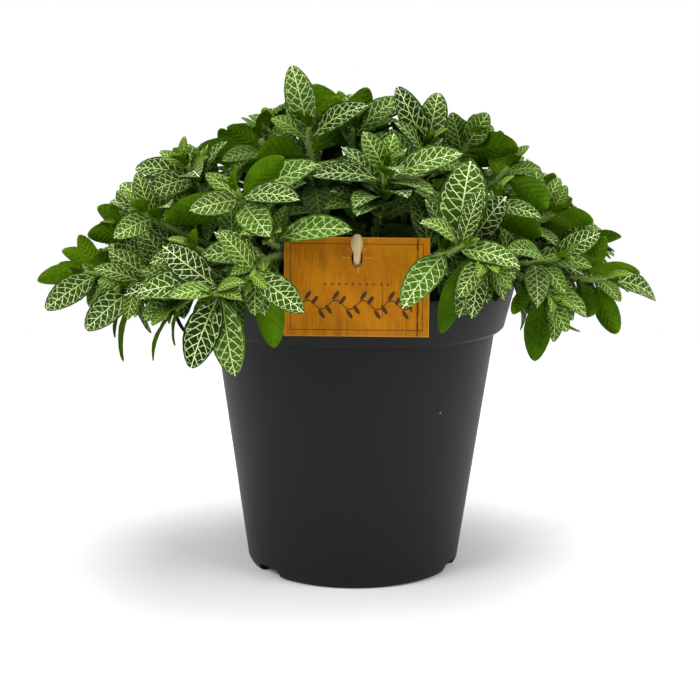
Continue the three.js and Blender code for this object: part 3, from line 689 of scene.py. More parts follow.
@dataclass
class LeafSkin:
    """The surface of a leaf: a flat tube whose upper and lower sides meet at a sharp margin."""

    form: LeafForm
    shares: tuple[float, ...] = (0.0, 0.06, 0.11, 0.18, 0.29, 0.42, 0.56, 0.7, 0.82, 0.91, 0.97)
    upper: tuple[float, ...] = (-1.0, -0.5, 0.0, 0.5, 1.0)
    blade: float = 0.42
    rib: float = 0.45
    rib_half_width: float = 0.6
    petiole: float = 1.1
    petiole_narrow: float = 0.85
    tip_round: float = 0.82
    tip_droop: float = 0.02
    wave_size: Span = (0.02, 0.07)
    wave_turns: Span = (1.1, 2.2)
    wave_skew: float = 1.2
    fold_spread: Span = (0.75, 1.25)
    fold_curve: float = 1.5
    opening: float = 8.0
    sweep: float = 0.018
    grown_length: float = 33.0
    growing: float = 22.0

    def add(self, parts: MeshParts, leaves: LeafSet, rng: np.random.Generator) -> None:
        """Adds leaves to a mesh.

        At share t of the length and place v across, from -1 to 1, the upper side stands at the middle
        line's arch, plus half width times v to the side, plus fold times half width times |v| to the
        power of fold_curve upwards, plus a small wave that grows towards the margin. The lower side is
        under it by a thickness that falls to nothing at the margin and grows at the midrib. Its quads
        start at another corner, so that both sides split into triangles along the same lines.

        Args:
            parts: the mesh in the making.
            leaves: the leaves.
            rng: the shoot's own generator.
        """
        lower = self.upper[-2:0:-1]
        v = np.array([*self.upper, *lower])
        under = np.arange(len(v)) >= len(self.upper)
        t = np.array(self.shares)[None, :, None]
        side = v[None, None, :]
        count = len(leaves.length)
        length = leaves.length[:, None, None]
        half_full = leaves.width[:, None, None] / 2 * length
        oval = self.form.oval(t) ** np.where(t > 0.5, self.tip_round, 1.0)
        half = np.maximum(self.form.petiole_half_width * self.petiole_narrow, half_full * oval)
        wave_turns = rng.uniform(*self.wave_turns, (count, 1, 1))
        phase = rng.uniform(0, 2 * math.pi, (count, 1, 1))
        size = rng.uniform(*self.wave_size, (count, 1, 1))
        lean = rng.uniform(-1, 1, (count, 1, 1))
        fold = self.form.fold * rng.uniform(*self.fold_spread, (count, 1, 1))
        blade = np.clip((t - self.form.petiole_share) * self.opening, 0, 1)
        wave = size * np.sin(wave_turns * 2 * math.pi * t + phase + side * self.wave_skew) * abs(side) ** 2
        rise = half * (fold * abs(side) ** self.fold_curve + wave * blade)
        rib = self.rib * np.exp(-((side * half / self.rib_half_width) ** 2)) * (1.1 - t)
        thin = self.blade * (1 - side**4) + rib
        thick = np.where(t < self.form.petiole_share + 0.01, self.petiole * (1 - side**2), thin)
        rise = rise - np.where(under, thick, 0.0)
        across_by = half * side + length * (self.sweep * lean * np.sin(math.pi * t))
        droop = self.tip_droop * length * t**4 * (1 - leaves.youth[:, None, None])
        arch = self.form.arch * length * 4 * t * (1 - t) - droop
        slope = self.form.arch * 4 * (1 - 2 * t)
        chord = leaves.chord[:, None, None, :]
        face = leaves.face[:, None, None, :]
        across = np.cross(chord, face)
        up = unit(face - chord * slope[..., None])
        middle = leaves.root[:, None, None, :] + chord * (length * t)[..., None] + face * arch[..., None]
        ringed = middle + across * across_by[..., None] + up * rise[..., None]
        tip_arch = leaves.face * (-self.tip_droop * leaves.length * (1 - leaves.youth))[:, None]
        tip = leaves.root + leaves.chord * leaves.length[:, None] + tip_arch
        rings, around = len(self.shares), len(v)
        points = np.concatenate([ringed.reshape(count, -1, 3), leaves.root[:, None], tip[:, None]], 1)
        one_map = np.stack(np.broadcast_arrays(t[0], side[0] / 2 + 0.5), -1).reshape(-1, 2)
        one_map = np.concatenate([one_map, POLE_MAP])
        quads, tris = tube_faces(rings, around)
        below = (np.arange(around) >= len(self.upper) - 1).astype(int)
        quad_side = np.tile(below, rings - 1)
        quads = np.where(quad_side[:, None] > 0, np.roll(quads, -1, axis=1), quads)
        tri_side = np.tile(below, 2)
        edge = np.where(v == -1, 1, 0) + np.where(v == 1, 2, 0)
        margin = np.concatenate([np.tile(edge, rings), [0, 0]])
        stride = rings * around + 2
        parts.add(
            points.reshape(-1, 3),
            np.tile(one_map, (count, 1)),
            np.repeat(np.clip((self.grown_length - leaves.length) / self.growing, 0, 1), stride),
            np.repeat(rng.uniform(0, 1, count), stride),
            repeated(quads, count, stride),
            np.tile(quad_side, count),
            repeated(tris, count, stride),
            np.tile(tri_side, count),
            np.tile(margin, count),
        )


@dataclass
class StemSkin:
    """The stem's tube, swollen a little where leaves join, and its fine hairs."""

    foot_radius: float = 1.5
    tip_radius: float = 1.05
    tip_point: float = 1.6
    around: int = 8
    finer: int = 3
    swelling: float = 0.28
    swelling_reach: float = 2.2
    bare: float = 12.5
    hair_spacing: float = 0.14
    hair_length: Span = (0.8, 2.0)
    hair_radius: float = 0.075
    hair_depth: float = 0.1
    hair_lean: Span = (0.1, 0.35)
    hair_stray: float = 0.2

    def frame(self, route: np.ndarray) -> tuple[np.ndarray, np.ndarray, np.ndarray]:
        """Direction along the route, and two sideways directions, at each of its points."""
        along = unit(np.gradient(route, axis=0))
        side = unit(np.cross(along, STEM_ASIDE))
        return along, side, np.cross(along, side)

    def radii(self, route: np.ndarray, roots: np.ndarray) -> np.ndarray:
        """The radius at each point of the route: a taper, plus a bell round each leaf's root."""
        share = np.linspace(0, 1, len(route))
        taper = self.foot_radius + (self.tip_radius - self.foot_radius) * share
        gap = np.linalg.norm(route[:, None] - roots[None], axis=-1).min(1)
        return taper * (1 + self.swelling * np.exp(-((gap / self.swelling_reach) ** 2)))

    def add(self, parts: MeshParts, route: np.ndarray, roots: np.ndarray, rng: np.random.Generator) -> None:
        """Adds the tube: rings round the route, with a pole at each end.

        Args:
            parts: the mesh in the making.
            route: the centre line.
            roots: where leaves join.
            rng: the shoot's own generator.
        """
        line = through(route, self.finer * len(route))
        along, side, front = self.frame(line)
        radius = self.radii(line, roots)
        turn = np.linspace(0, 2 * math.pi, self.around, endpoint=False)
        spoke = np.cos(turn)[:, None] * side[:, None] + np.sin(turn)[:, None] * front[:, None]
        ringed = line[:, None] + spoke * radius[:, None, None]
        end = line[-1] + along[-1] * self.tip_point
        points = np.concatenate([ringed.reshape(-1, 3), line[:1], end[None]])
        quads, tris = tube_faces(len(line), self.around)
        share = np.repeat(np.linspace(0, 1, len(line)), self.around)
        maps = np.stack([share, np.tile(np.arange(self.around) / self.around, len(line))], -1)
        maps = np.concatenate([maps, POLE_MAP])
        number = rng.uniform()
        parts.add(
            points,
            maps,
            np.append(share**3, [0, 1]),
            np.full(len(points), number),
            quads,
            np.full(len(quads), Coat.STEM.value),
            tris,
            np.full(len(tris), Coat.STEM.value),
        )
        self.add_hairs(parts, line, radius, rng)

    def add_hairs(
        self, parts: MeshParts, line: np.ndarray, radius: np.ndarray, rng: np.random.Generator
    ) -> None:
        """Adds hairs: thin three-sided spikes that stand off the stem at random places.

        Args:
            parts: the mesh in the making.
            line: the centre line.
            radius: the stem's radius at its points.
            rng: the shoot's own generator.
        """
        run = run_along(line)
        count = int((run[-1] - self.bare) / self.hair_spacing)
        at = rng.uniform(self.bare, run[-1], count)
        centre, forward, side, front = (between(at, run, column) for column in (line, *self.frame(line)))
        turn = rng.uniform(0, 2 * math.pi, count)[:, None]
        out = unit(np.cos(turn) * side + np.sin(turn) * front)
        lean = forward * rng.normal(*self.hair_lean, (count, 1))
        heading = unit(out + lean + rng.normal(0, self.hair_stray, (count, 3)))
        foot = centre + out * (np.interp(at, run, radius)[:, None] - self.hair_depth)
        spikes(parts, foot, heading, rng.uniform(*self.hair_length, count), self.hair_radius)


def spikes(
    parts: MeshParts, foot: np.ndarray, heading: np.ndarray, length: np.ndarray, radius: float
) -> None:
    """Adds thin hairs, each a closed spike of four triangles from a small base to a point.

    Args:
        parts: the mesh in the making.
        foot: the middle of each base.
        heading: where each points.
        length: how long each is.
        radius: the base's radius.
    """
    count = len(foot)
    a = unit(np.cross(heading, HAIR_ASIDE))
    b = np.cross(heading, a)
    turn = np.arange(3) * 2 * math.pi / 3
    base = foot[:, None] + radius * (np.cos(turn)[:, None] * a[:, None] + np.sin(turn)[:, None] * b[:, None])
    points = np.concatenate([base, (foot + heading * length[:, None])[:, None]], 1)
    faces = np.array([[0, 1, 3], [1, 2, 3], [2, 0, 3], [2, 1, 0]])
    parts.add(
        points.reshape(-1, 3),
        np.tile([[0, 0], [0, 0], [0, 0], [1, 0]], (count, 1)),
        np.zeros(count * 4),
        np.zeros(count * 4),
        np.zeros((0, 4), int),
        np.zeros(0, int),
        repeated(faces, count, 4),
        np.full(count * 4, Coat.HAIR.value),
    )


@dataclass
class LeafyStem:
    """One shoot: its own leaves, the young ones at its crown, its stem and its hairs."""

    number: int
    form: LeafForm
    finishes: list[bpy.types.Material]
    young: tuple[float, ...] = (15.0, 34, 1.5, 0.42)
    bud: tuple[float, ...] = (9.0, 24, 0.4, 0.4)
    small_bud: tuple[float, ...] = (5.4, 12, -0.4, 0.42)
    crown_reach: float = 4.0
    uneven_pitch: float = 7.0
    uneven_length: Span = (0.88, 1.12)
    alike: float = 0.2
    first_seed: int = 4100
    leaves: LeafSet | None = None
    grown: LeafSet | None = None
    filling: list[LeafSet] = field(default_factory=list)
    filling_shares: tuple[float, ...] = (0.0, 0.1, 0.22, 0.42, 0.62, 0.8, 0.93)
    route: np.ndarray | None = None
    rng: np.random.Generator | None = None

    @property
    def name(self) -> str:
        """The CAD node's name."""
        return f"shoot_{self.number:02d}"

    def crown_leaves(self, leaves: LeafSet, route: np.ndarray, rng: np.random.Generator) -> LeafSet:
        """The pair of young leaves that a crown lacks, and its bud.

        young, bud and small_bud each hold a length, a pitch from the stem's axis in degrees, how far
        under the crown the leaf joins, and its width share.

        Args:
            leaves: the leaves already found.
            route: the stem's centre line.
            rng: the shoot's own generator.

        Returns:
            The added leaves.
        """
        axis = unit(route[-1] - route[-3])
        crown = route[-1]
        gaps = np.linalg.norm(leaves.root - crown, axis=1)
        nearest = leaves.chord[np.argmin(gaps)]
        flat = unit(nearest - axis * (nearest @ axis))
        cross = np.cross(axis, flat)
        there = gaps < self.crown_reach
        first, second = (flat, cross) if there.any() else (cross, flat)
        rows = []
        if there.sum() < 2:
            for sign in (1, -1):
                if not (leaves.chord[there] @ (first * sign) > self.alike).any():
                    rows.append((first * sign, *self.young))
        for sign in (1, -1):
            rows.append((second * sign, *self.bud))
            rows.append((first * sign, *self.small_bud))
        made = []
        for outwards, length, pitch, drop, width in rows:
            tilt = math.radians(pitch + rng.uniform(-self.uneven_pitch, self.uneven_pitch))
            long = length * rng.uniform(*self.uneven_length)
            chord = unit(axis * math.cos(tilt) + outwards * math.sin(tilt))
            face = unit(axis - chord * (axis @ chord))
            made.append((crown - axis * drop, chord, face, long, width, 1.0))
        return LeafSet(*(np.array(column) for column in zip(*made)))

    def read(self, node: bpy.types.Object) -> None:
        """Reads the CAD node and adds the crown's leaves."""
        self.rng = np.random.default_rng(self.first_seed + self.number)
        reader = ShootReader(node, self.form)
        self.leaves = reader.leaves()
        self.route = reader.route(self.leaves)
        self.grown = self.leaves.joined(self.crown_leaves(self.leaves, self.route, self.rng))

    def build(self, low: np.ndarray, high: np.ndarray) -> bpy.types.Object:
        """Builds the shoot around its CAD node and replaces the node.

        Args:
            low: the lowest corner that it may reach, in metres.
            high: the highest.

        Returns:
            The finished piece.
        """
        parts = MeshParts()
        LeafSkin(self.form).add(parts, self.grown, self.rng)
        roots = self.grown.root
        if self.filling:
            filling = self.filling[0].joined(*self.filling[1:])
            LeafSkin(self.form, self.filling_shares).add(parts, filling, self.rng)
            roots = np.concatenate([roots, filling.root])
        StemSkin().add(parts, self.route, roots, self.rng)
        mesh = parts.mesh(self.name + "_fine", low, high)
        for finish in self.finishes:
            mesh.materials.append(finish)
        piece = linked(self.name + "_fine", mesh)
        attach(piece, ROOT_BODY)
        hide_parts(self.name)
        counts = len(self.leaves.length), len(roots), len(mesh.polygons)
        LOG.info("%s: %d leaves read, %d in all, %d faces", piece.name, *counts)
        return piece


@dataclass(frozen=True)
class VeinNet:
    """The pale net of a nerve plant's leaf, in shares of its length and half width."""

    form: LeafForm
    pairs: float = 7.0
    lean: float = 0.2
    curl: float = 0.115
    loop: float = 0.87
    scallop: float = 0.1
    ladders: float = 2.7
    ladder_lean: float = 0.75
    ladder_jitter: float = 1.7
    ladder_share: float = 0.62
    side_shift: float = 0.45
    wander: float = 0.42
    fine_wander: float = 0.14
    leaf_shift: float = 0.8
    rib: Span = (0.047, 0.033)
    side_vein: Span = (0.055, 0.02)
    ladder_width: float = 0.02
    soft: float = 0.045
    ladder_soft: float = 0.07
    loop_soft: float = 0.03
    loop_share: float = 0.62
    tip_loop: float = 3.1

    def draw(self, r: Recipe) -> tuple[Wire, Wire, Wire, Wire]:
        """Draws the net.

        Side veins lie where q, a count that rises along the blade and falls towards the margin, is a
        whole number. The ladder's rungs lie where a second count, which rises towards the margin within
        each row between side veins, is a whole number. The side veins end in loops near the margin.

        Args:
            r: the recipe.

        Returns:
            The net's mask, the pillow height between veins, the share along the blade, and the place
            across from -1 to 1.
        """
        u, w = r.flat_map("leaf")
        seed = r.attribute("seed")
        youth = r.attribute("youth")
        across = w * 2 - 1
        side = abs(across)
        t = r.math("MAXIMUM", (u - self.form.petiole_share) / (1 - self.form.petiole_share), 0.0)
        oval = r.math("SINE", t**self.form.oval_shift * math.pi)
        half = r.math("MAXIMUM", oval, 0.03) ** self.form.oval_blunt
        wander = r.noise(r.vector(t * 2.6, across * 1.4, seed * 91), detail=1.0) - 0.5
        fine = r.noise(r.vector(t * 9.0, across * 4.0, seed * 47), detail=1.0) - 0.5
        right = across > 0
        lift = (side * self.lean + side * side * self.curl) * half
        wandering = wander * self.wander + fine * self.fine_wander
        q = (t - lift) * self.pairs + wandering + right * self.side_shift + seed * self.leaf_shift
        in_q = r.math("FRACT", q)
        to_vein = 0.5 - abs(in_q - 0.5)
        row = r.math("FLOOR", q)
        own = r.vector(row + seed * 57, right * 3.1, 0.0)
        jitter = r.node("ShaderNodeTexWhiteNoise", {"noise_dimensions": "2D"}, {"Vector": own})
        ladder_wander = r.noise(r.vector(q * 2.1, side * 4.0, seed * 33), detail=0.0) - 0.5
        ladder_lean = in_q * (jitter * 0.8 + self.ladder_lean)
        rungs = side * self.ladders + ladder_lean + jitter * self.ladder_jitter + ladder_wander * 0.45
        to_rung = 0.5 - abs(r.math("FRACT", rungs) - 0.5)
        tip = 1 - (1 - t) * self.tip_loop
        edge = r.math("SMOOTH_MAX", side, tip, 0.12)
        spread = abs(in_q - 0.5) * 2
        loop = self.loop - spread * spread * self.scallop
        inside = 1 - r.step(edge, loop, loop + self.loop_soft)
        vein_width = self.side_vein[0] - side * (self.side_vein[0] - self.side_vein[1])
        side_vein = 1 - r.step(to_vein, vein_width * 0.6, vein_width * 0.6 + self.soft)
        ladder = 1 - r.step(to_rung, self.ladder_width, self.ladder_width + self.ladder_soft)
        ladder = ladder * (self.ladder_share - youth * 0.4)
        looped = 1 - r.step(abs(edge - loop), 0.004, self.loop_soft)
        rib_width = self.rib[0] - t * self.rib[1]
        rib = 1 - r.step(side * half, rib_width * 0.75, rib_width * 1.35)
        net = r.largest(r.largest(side_vein, ladder) * inside, looped * self.loop_share, rib)
        pillow = r.step(to_vein, 0.0, 0.4) * (r.step(to_rung, 0.0, 0.45) * 0.5 + 0.5) * inside
        return net, pillow, t, side


@dataclass(frozen=True)
class LeafFinish:
    """Both sides of the leaves."""

    net: VeinNet
    deep: Colour = (0.011, 0.029, 0.0015)
    light: Colour = (0.060, 0.132, 0.006)
    olive: Colour = (0.042, 0.062, 0.007)
    # Painted shade: the dark green that leaf colours turn towards deep in the canopy
    old: Colour = (0.006, 0.021, 0.001)
    young: Colour = (0.075, 0.165, 0.004)
    vein: Colour = (0.70, 0.86, 0.42)
    vein_young: Colour = (0.56, 0.72, 0.15)
    vein_base: Colour = (0.30, 0.42, 0.06)
    # Painted shade: the greener, duller veins deep in the canopy
    vein_shaded: Colour = (0.42, 0.66, 0.10)
    under: Colour = (0.045, 0.125, 0.0015)
    under_light: Colour = (0.165, 0.32, 0.004)
    stalk: Colour = (0.10, 0.19, 0.016)
    stalk_end: float = 0.05
    shaded: float = 0.94
    patches: float = 90.0
    under_patches: float = 70.0
    grains: float = 2600.0
    gloss: float = 0.03

    def upper(self) -> bpy.types.Material:
        """The veined upper side."""
        r = Recipe("leaf_upper")
        net, pillow, t, side = self.net.draw(r)
        youth = r.attribute("youth")
        seed = r.attribute("seed")
        shade = r.attribute("shade")
        patch = r.noise(r.place(), self.patches)
        tone = r.step(patch * 0.45 + seed * 0.65, 0.25, 0.9)
        blade = r.blend(tone, self.deep, self.light)
        other = r.math("FRACT", seed * 7.31)
        blade = r.blend(r.step(other, 0.6, 0.95) * 0.6, blade, self.olive)
        blade = r.blend(youth * 0.85, blade, self.young)
        near_rib = (1 - r.step(side, 0.0, 0.3)) * (1 - r.step(t, 0.1, 1.0))
        vein = r.blend(near_rib * 0.85, self.vein, self.vein_base)
        vein = r.blend(youth, vein, self.vein_young)
        # Painted shade: veins turn greener deep in the canopy
        vein = r.blend(shade * 0.9, vein, self.vein_shaded)
        colour = r.blend(net, blade, vein)
        colour = r.blend(1 - r.step(t, 0.0, self.stalk_end), colour, self.stalk)
        # Painted shade: the upper side darkens towards old deep in the canopy
        colour = r.blend(shade * self.shaded, colour, self.old)
        grain = r.noise(r.place(), self.grains, detail=1.0)
        rough = 0.5 + grain * 0.14 - net * 0.06
        bump = r.bump(pillow * 0.8 + grain * 0.12, depth=0.45, strength=0.75)
        return r.finish(colour, rough, bump, Specular_IOR_Level=self.gloss)

    def lower(self) -> bpy.types.Material:
        """The plain under side, with faint veins."""
        r = Recipe("leaf_under")
        net, pillow, t, side = self.net.draw(r)
        youth = r.attribute("youth")
        patch = r.noise(r.place(), self.under_patches)
        towards_edge = r.step(side, 0.1, 1.0) * 0.35
        blade = r.blend(r.step(patch, 0.25, 0.8) * 0.65 + youth * 0.3, self.under, self.under_light)
        blade = r.blend(towards_edge, blade, self.under)
        colour = r.blend(net * 0.5, blade, self.under_light)
        colour = r.blend(1 - r.step(t, 0.0, self.stalk_end), colour, self.stalk)
        # Painted shade: the under side darkens towards old deep in the canopy
        colour = r.blend(r.attribute("shade") * self.shaded, colour, self.old)
        grain = r.noise(r.place(), self.grains, detail=1.0)
        bump = r.bump(net * 0.7 + grain * 0.15 - pillow * 0.6, depth=0.6, strength=0.9)
        return r.finish(colour, 0.55 + grain * 0.12, bump, Specular_IOR_Level=self.gloss)


@dataclass(frozen=True)
class StemFinish:
    """The green stems and their hairs."""

    old: Colour = (0.11, 0.185, 0.028)
    young: Colour = (0.19, 0.32, 0.04)
    # Painted shade: the dark green of stems deep in the canopy
    dark: Colour = (0.03, 0.055, 0.006)
    hair: Colour = (0.55, 0.65, 0.35)
    shaded: float = 0.55
    gloss: float = 0.2

    def stem(self) -> bpy.types.Material:
        """Green skin with fine lengthwise streaks."""
        r = Recipe("stem_green")
        u, w = r.flat_map("leaf")
        streak = r.noise(r.vector(u * 6, w * 26, r.attribute("seed") * 17))
        fresh = r.step(streak * 0.7 + r.attribute("youth") * 0.6, 0.25, 0.95)
        colour = r.blend(fresh, self.old, self.young)
        # Painted shade: stems darken towards dark deep in the canopy
        colour = r.blend(r.attribute("shade") * self.shaded, colour, self.dark)
        grain = r.noise(r.place(), scale=1800.0, detail=1.0)
        bump = r.bump(streak * 0.6 + grain * 0.4, depth=0.25, strength=0.5)
        return r.finish(colour, 0.5 + grain * 0.15, bump, Specular_IOR_Level=self.gloss)

    def hairs(self) -> bpy.types.Material:
        """Pale hairs, greener at the foot."""
        r = Recipe("stem_hair")
        u, _ = r.flat_map("leaf")
        return r.finish(r.blend(r.step(u, 0.0, 0.5), self.young, self.hair), roughness=0.5)


@dataclass
class SightMap:
    """Which small squares of a view the leaves cover, and which gaps between them are still open.

    open holds the gaps' squares, inside all squares within the leaves' closed outline, and nearest how
    near the guarded leaves stand in each.
    """

    eye: np.ndarray
    aim: np.ndarray
    weight: float
    cell: float = 1.5
    half: int = 140
    closing: int = 6

    def __post_init__(self) -> None:
        """Sets the view's axes."""
        self.ahead = unit(self.aim - self.eye)
        side = np.cross(self.ahead, UP)
        self.right = unit(side) if np.linalg.norm(side) > 0.1 else np.array([1.0, 0, 0])
        self.above = np.cross(self.right, self.ahead)
        self.reach = np.linalg.norm(self.aim - self.eye)
        self.open = np.zeros((2 * self.half, 2 * self.half), bool)
        self.inside = np.ones_like(self.open)
        self.nearest = np.full(self.open.shape, -np.inf)

    def cells(self, points: np.ndarray) -> np.ndarray:
        """The squares that points fall in, once drawn towards the eye onto the plane through aim."""
        away = points.reshape(-1, 3) - self.eye
        flat = away * (self.reach / (away @ self.ahead))[:, None]
        at = np.stack([flat @ self.right, flat @ self.above], -1) / self.cell
        return np.clip(np.floor(at).astype(int) + self.half, 0, 2 * self.half - 1)

    def widened(self, mask: np.ndarray) -> np.ndarray:
        """The mask with every square within the closing distance added."""
        steps = range(-self.closing, self.closing + 1)
        wide = mask.copy()
        for i in steps:
            for j in steps:
                if i * i + j * j <= self.closing**2:
                    wide |= np.roll(mask, (i, j), (0, 1))
        return wide

    def survey(self, leaves: np.ndarray, pot: np.ndarray) -> None:
        """Finds the gaps: squares inside the leaves' closed outline that no leaf or pot covers."""
        covered = np.zeros_like(self.open)
        at = self.cells(leaves)
        covered[at[:, 0], at[:, 1]] = True
        closed = ~self.widened(~self.widened(covered))
        hard = np.zeros_like(self.open)
        at = self.cells(pot)
        hard[at[:, 0], at[:, 1]] = True
        self.open = closed & ~covered & ~self.widened(hard)
        self.inside = closed

    def guard(self, leaves: np.ndarray) -> None:
        """Notes how near the leaves stand in each square and the squares around it.

        Args:
            leaves: points all over the leaves that stay in sight.
        """
        at = self.cells(leaves)
        near = np.full(self.open.shape, np.inf)
        np.minimum.at(near, (at[:, 0], at[:, 1]), (leaves - self.eye) @ self.ahead)
        around = [np.roll(near, (i, j), (0, 1)) for i in (-1, 0, 1) for j in (-1, 0, 1)]
        near = np.min(around, axis=0)
        self.nearest = np.where(np.isinf(near), -np.inf, near)

    def behind(self, points: np.ndarray, gap: float, depth: float) -> np.ndarray:
        """Whether each of several leaves stays clear of the guarded ones in this view.

        A leaf's points lie inside the closed outline, and behind the guarded leaf of their square by the
        gap, or far in front of it.

        Args:
            points: points all over each leaf, one row of points for each.
            gap: the least distance behind.
            depth: how far in front is far.

        Returns:
            One truth value for each leaf.
        """
        at = self.cells(points)
        away = (points.reshape(-1, 3) - self.eye) @ self.ahead
        near = self.nearest[at[:, 0], at[:, 1]]
        good = ((away > near + gap) | (away < near - depth)) & self.inside[at[:, 0], at[:, 1]]
        return good.reshape(len(points), -1).all(1)

    def gains(self, points: np.ndarray) -> np.ndarray:
        """How many open squares each of several leaves would cover, times the view's weight.

        Args:
            points: points all over each leaf, one row of points for each.

        Returns:
            One number for each leaf.
        """
        at = self.cells(points)
        square = np.sort((at[:, 0] * 2 * self.half + at[:, 1]).reshape(len(points), -1), axis=1)
        first = np.diff(square, axis=1, prepend=-1) > 0
        return self.weight * (self.open.ravel()[square] & first).sum(1)

    def cover(self, points: np.ndarray) -> None:
        """Closes the squares that a new leaf covers."""
        at = self.cells(points)
        self.open[at[:, 0], at[:, 1]] = False


@dataclass
class Room:
    """Where a filling leaf may grow: clear of the leaves, the stems, the card and the pot."""

    leaves: np.ndarray
    stems: np.ndarray
    shape: np.ndarray
    leaf_gap: float = 3.6
    stem_gap: float = 1.7
    near: float = 21.0
    lowest: float = 148.0
    rim_inner: float = 79.0
    rim_outer: float = 92.0
    over_soil: float = 155.0
    over_rim: float = 164.0
    card_half: float = 41.0
    card_front: float = -76.0
    card_top: float = 197.0

    def clear(self, at: np.ndarray) -> bool:
        """Whether points stay over the soil or outside the rim, and off the card."""
        radius = np.hypot(at[:, 0], at[:, 1])
        high = at[:, 2]
        on_soil = (radius < self.rim_inner) & (high < self.over_soil)
        on_rim = (radius >= self.rim_inner) & (radius < self.rim_outer) & (high < self.over_rim)
        on_card = (abs(at[:, 0]) < self.card_half) & (at[:, 1] < self.card_front) & (high < self.card_top)
        return not (on_soil | on_rim | on_card | (high < self.lowest)).any()

    def free(self, at: np.ndarray) -> bool:
        """Whether a leaf has room.

        It keeps its distance from leaves and stems, and has the canopy's own leaves near its outer half.

        Args:
            at: points along the leaf.

        Returns:
            True if it may grow there.
        """
        if not self.clear(at):
            return False
        if np.linalg.norm(at[1:, None] - self.leaves[None], axis=-1).min() < self.leaf_gap:
            return False
        if np.linalg.norm(at[1:, None] - self.stems[None], axis=-1).min() < self.stem_gap:
            return False
        return np.linalg.norm(at[3:, None] - self.shape[None], axis=-1).min(1).max() <= self.near


@dataclass(frozen=True)
class Sweep:
    """The limits of one round along all the stems."""

    least_gain: float
    leaf_gap: float
    shortest: float
    root_gap: float
    in_front: float


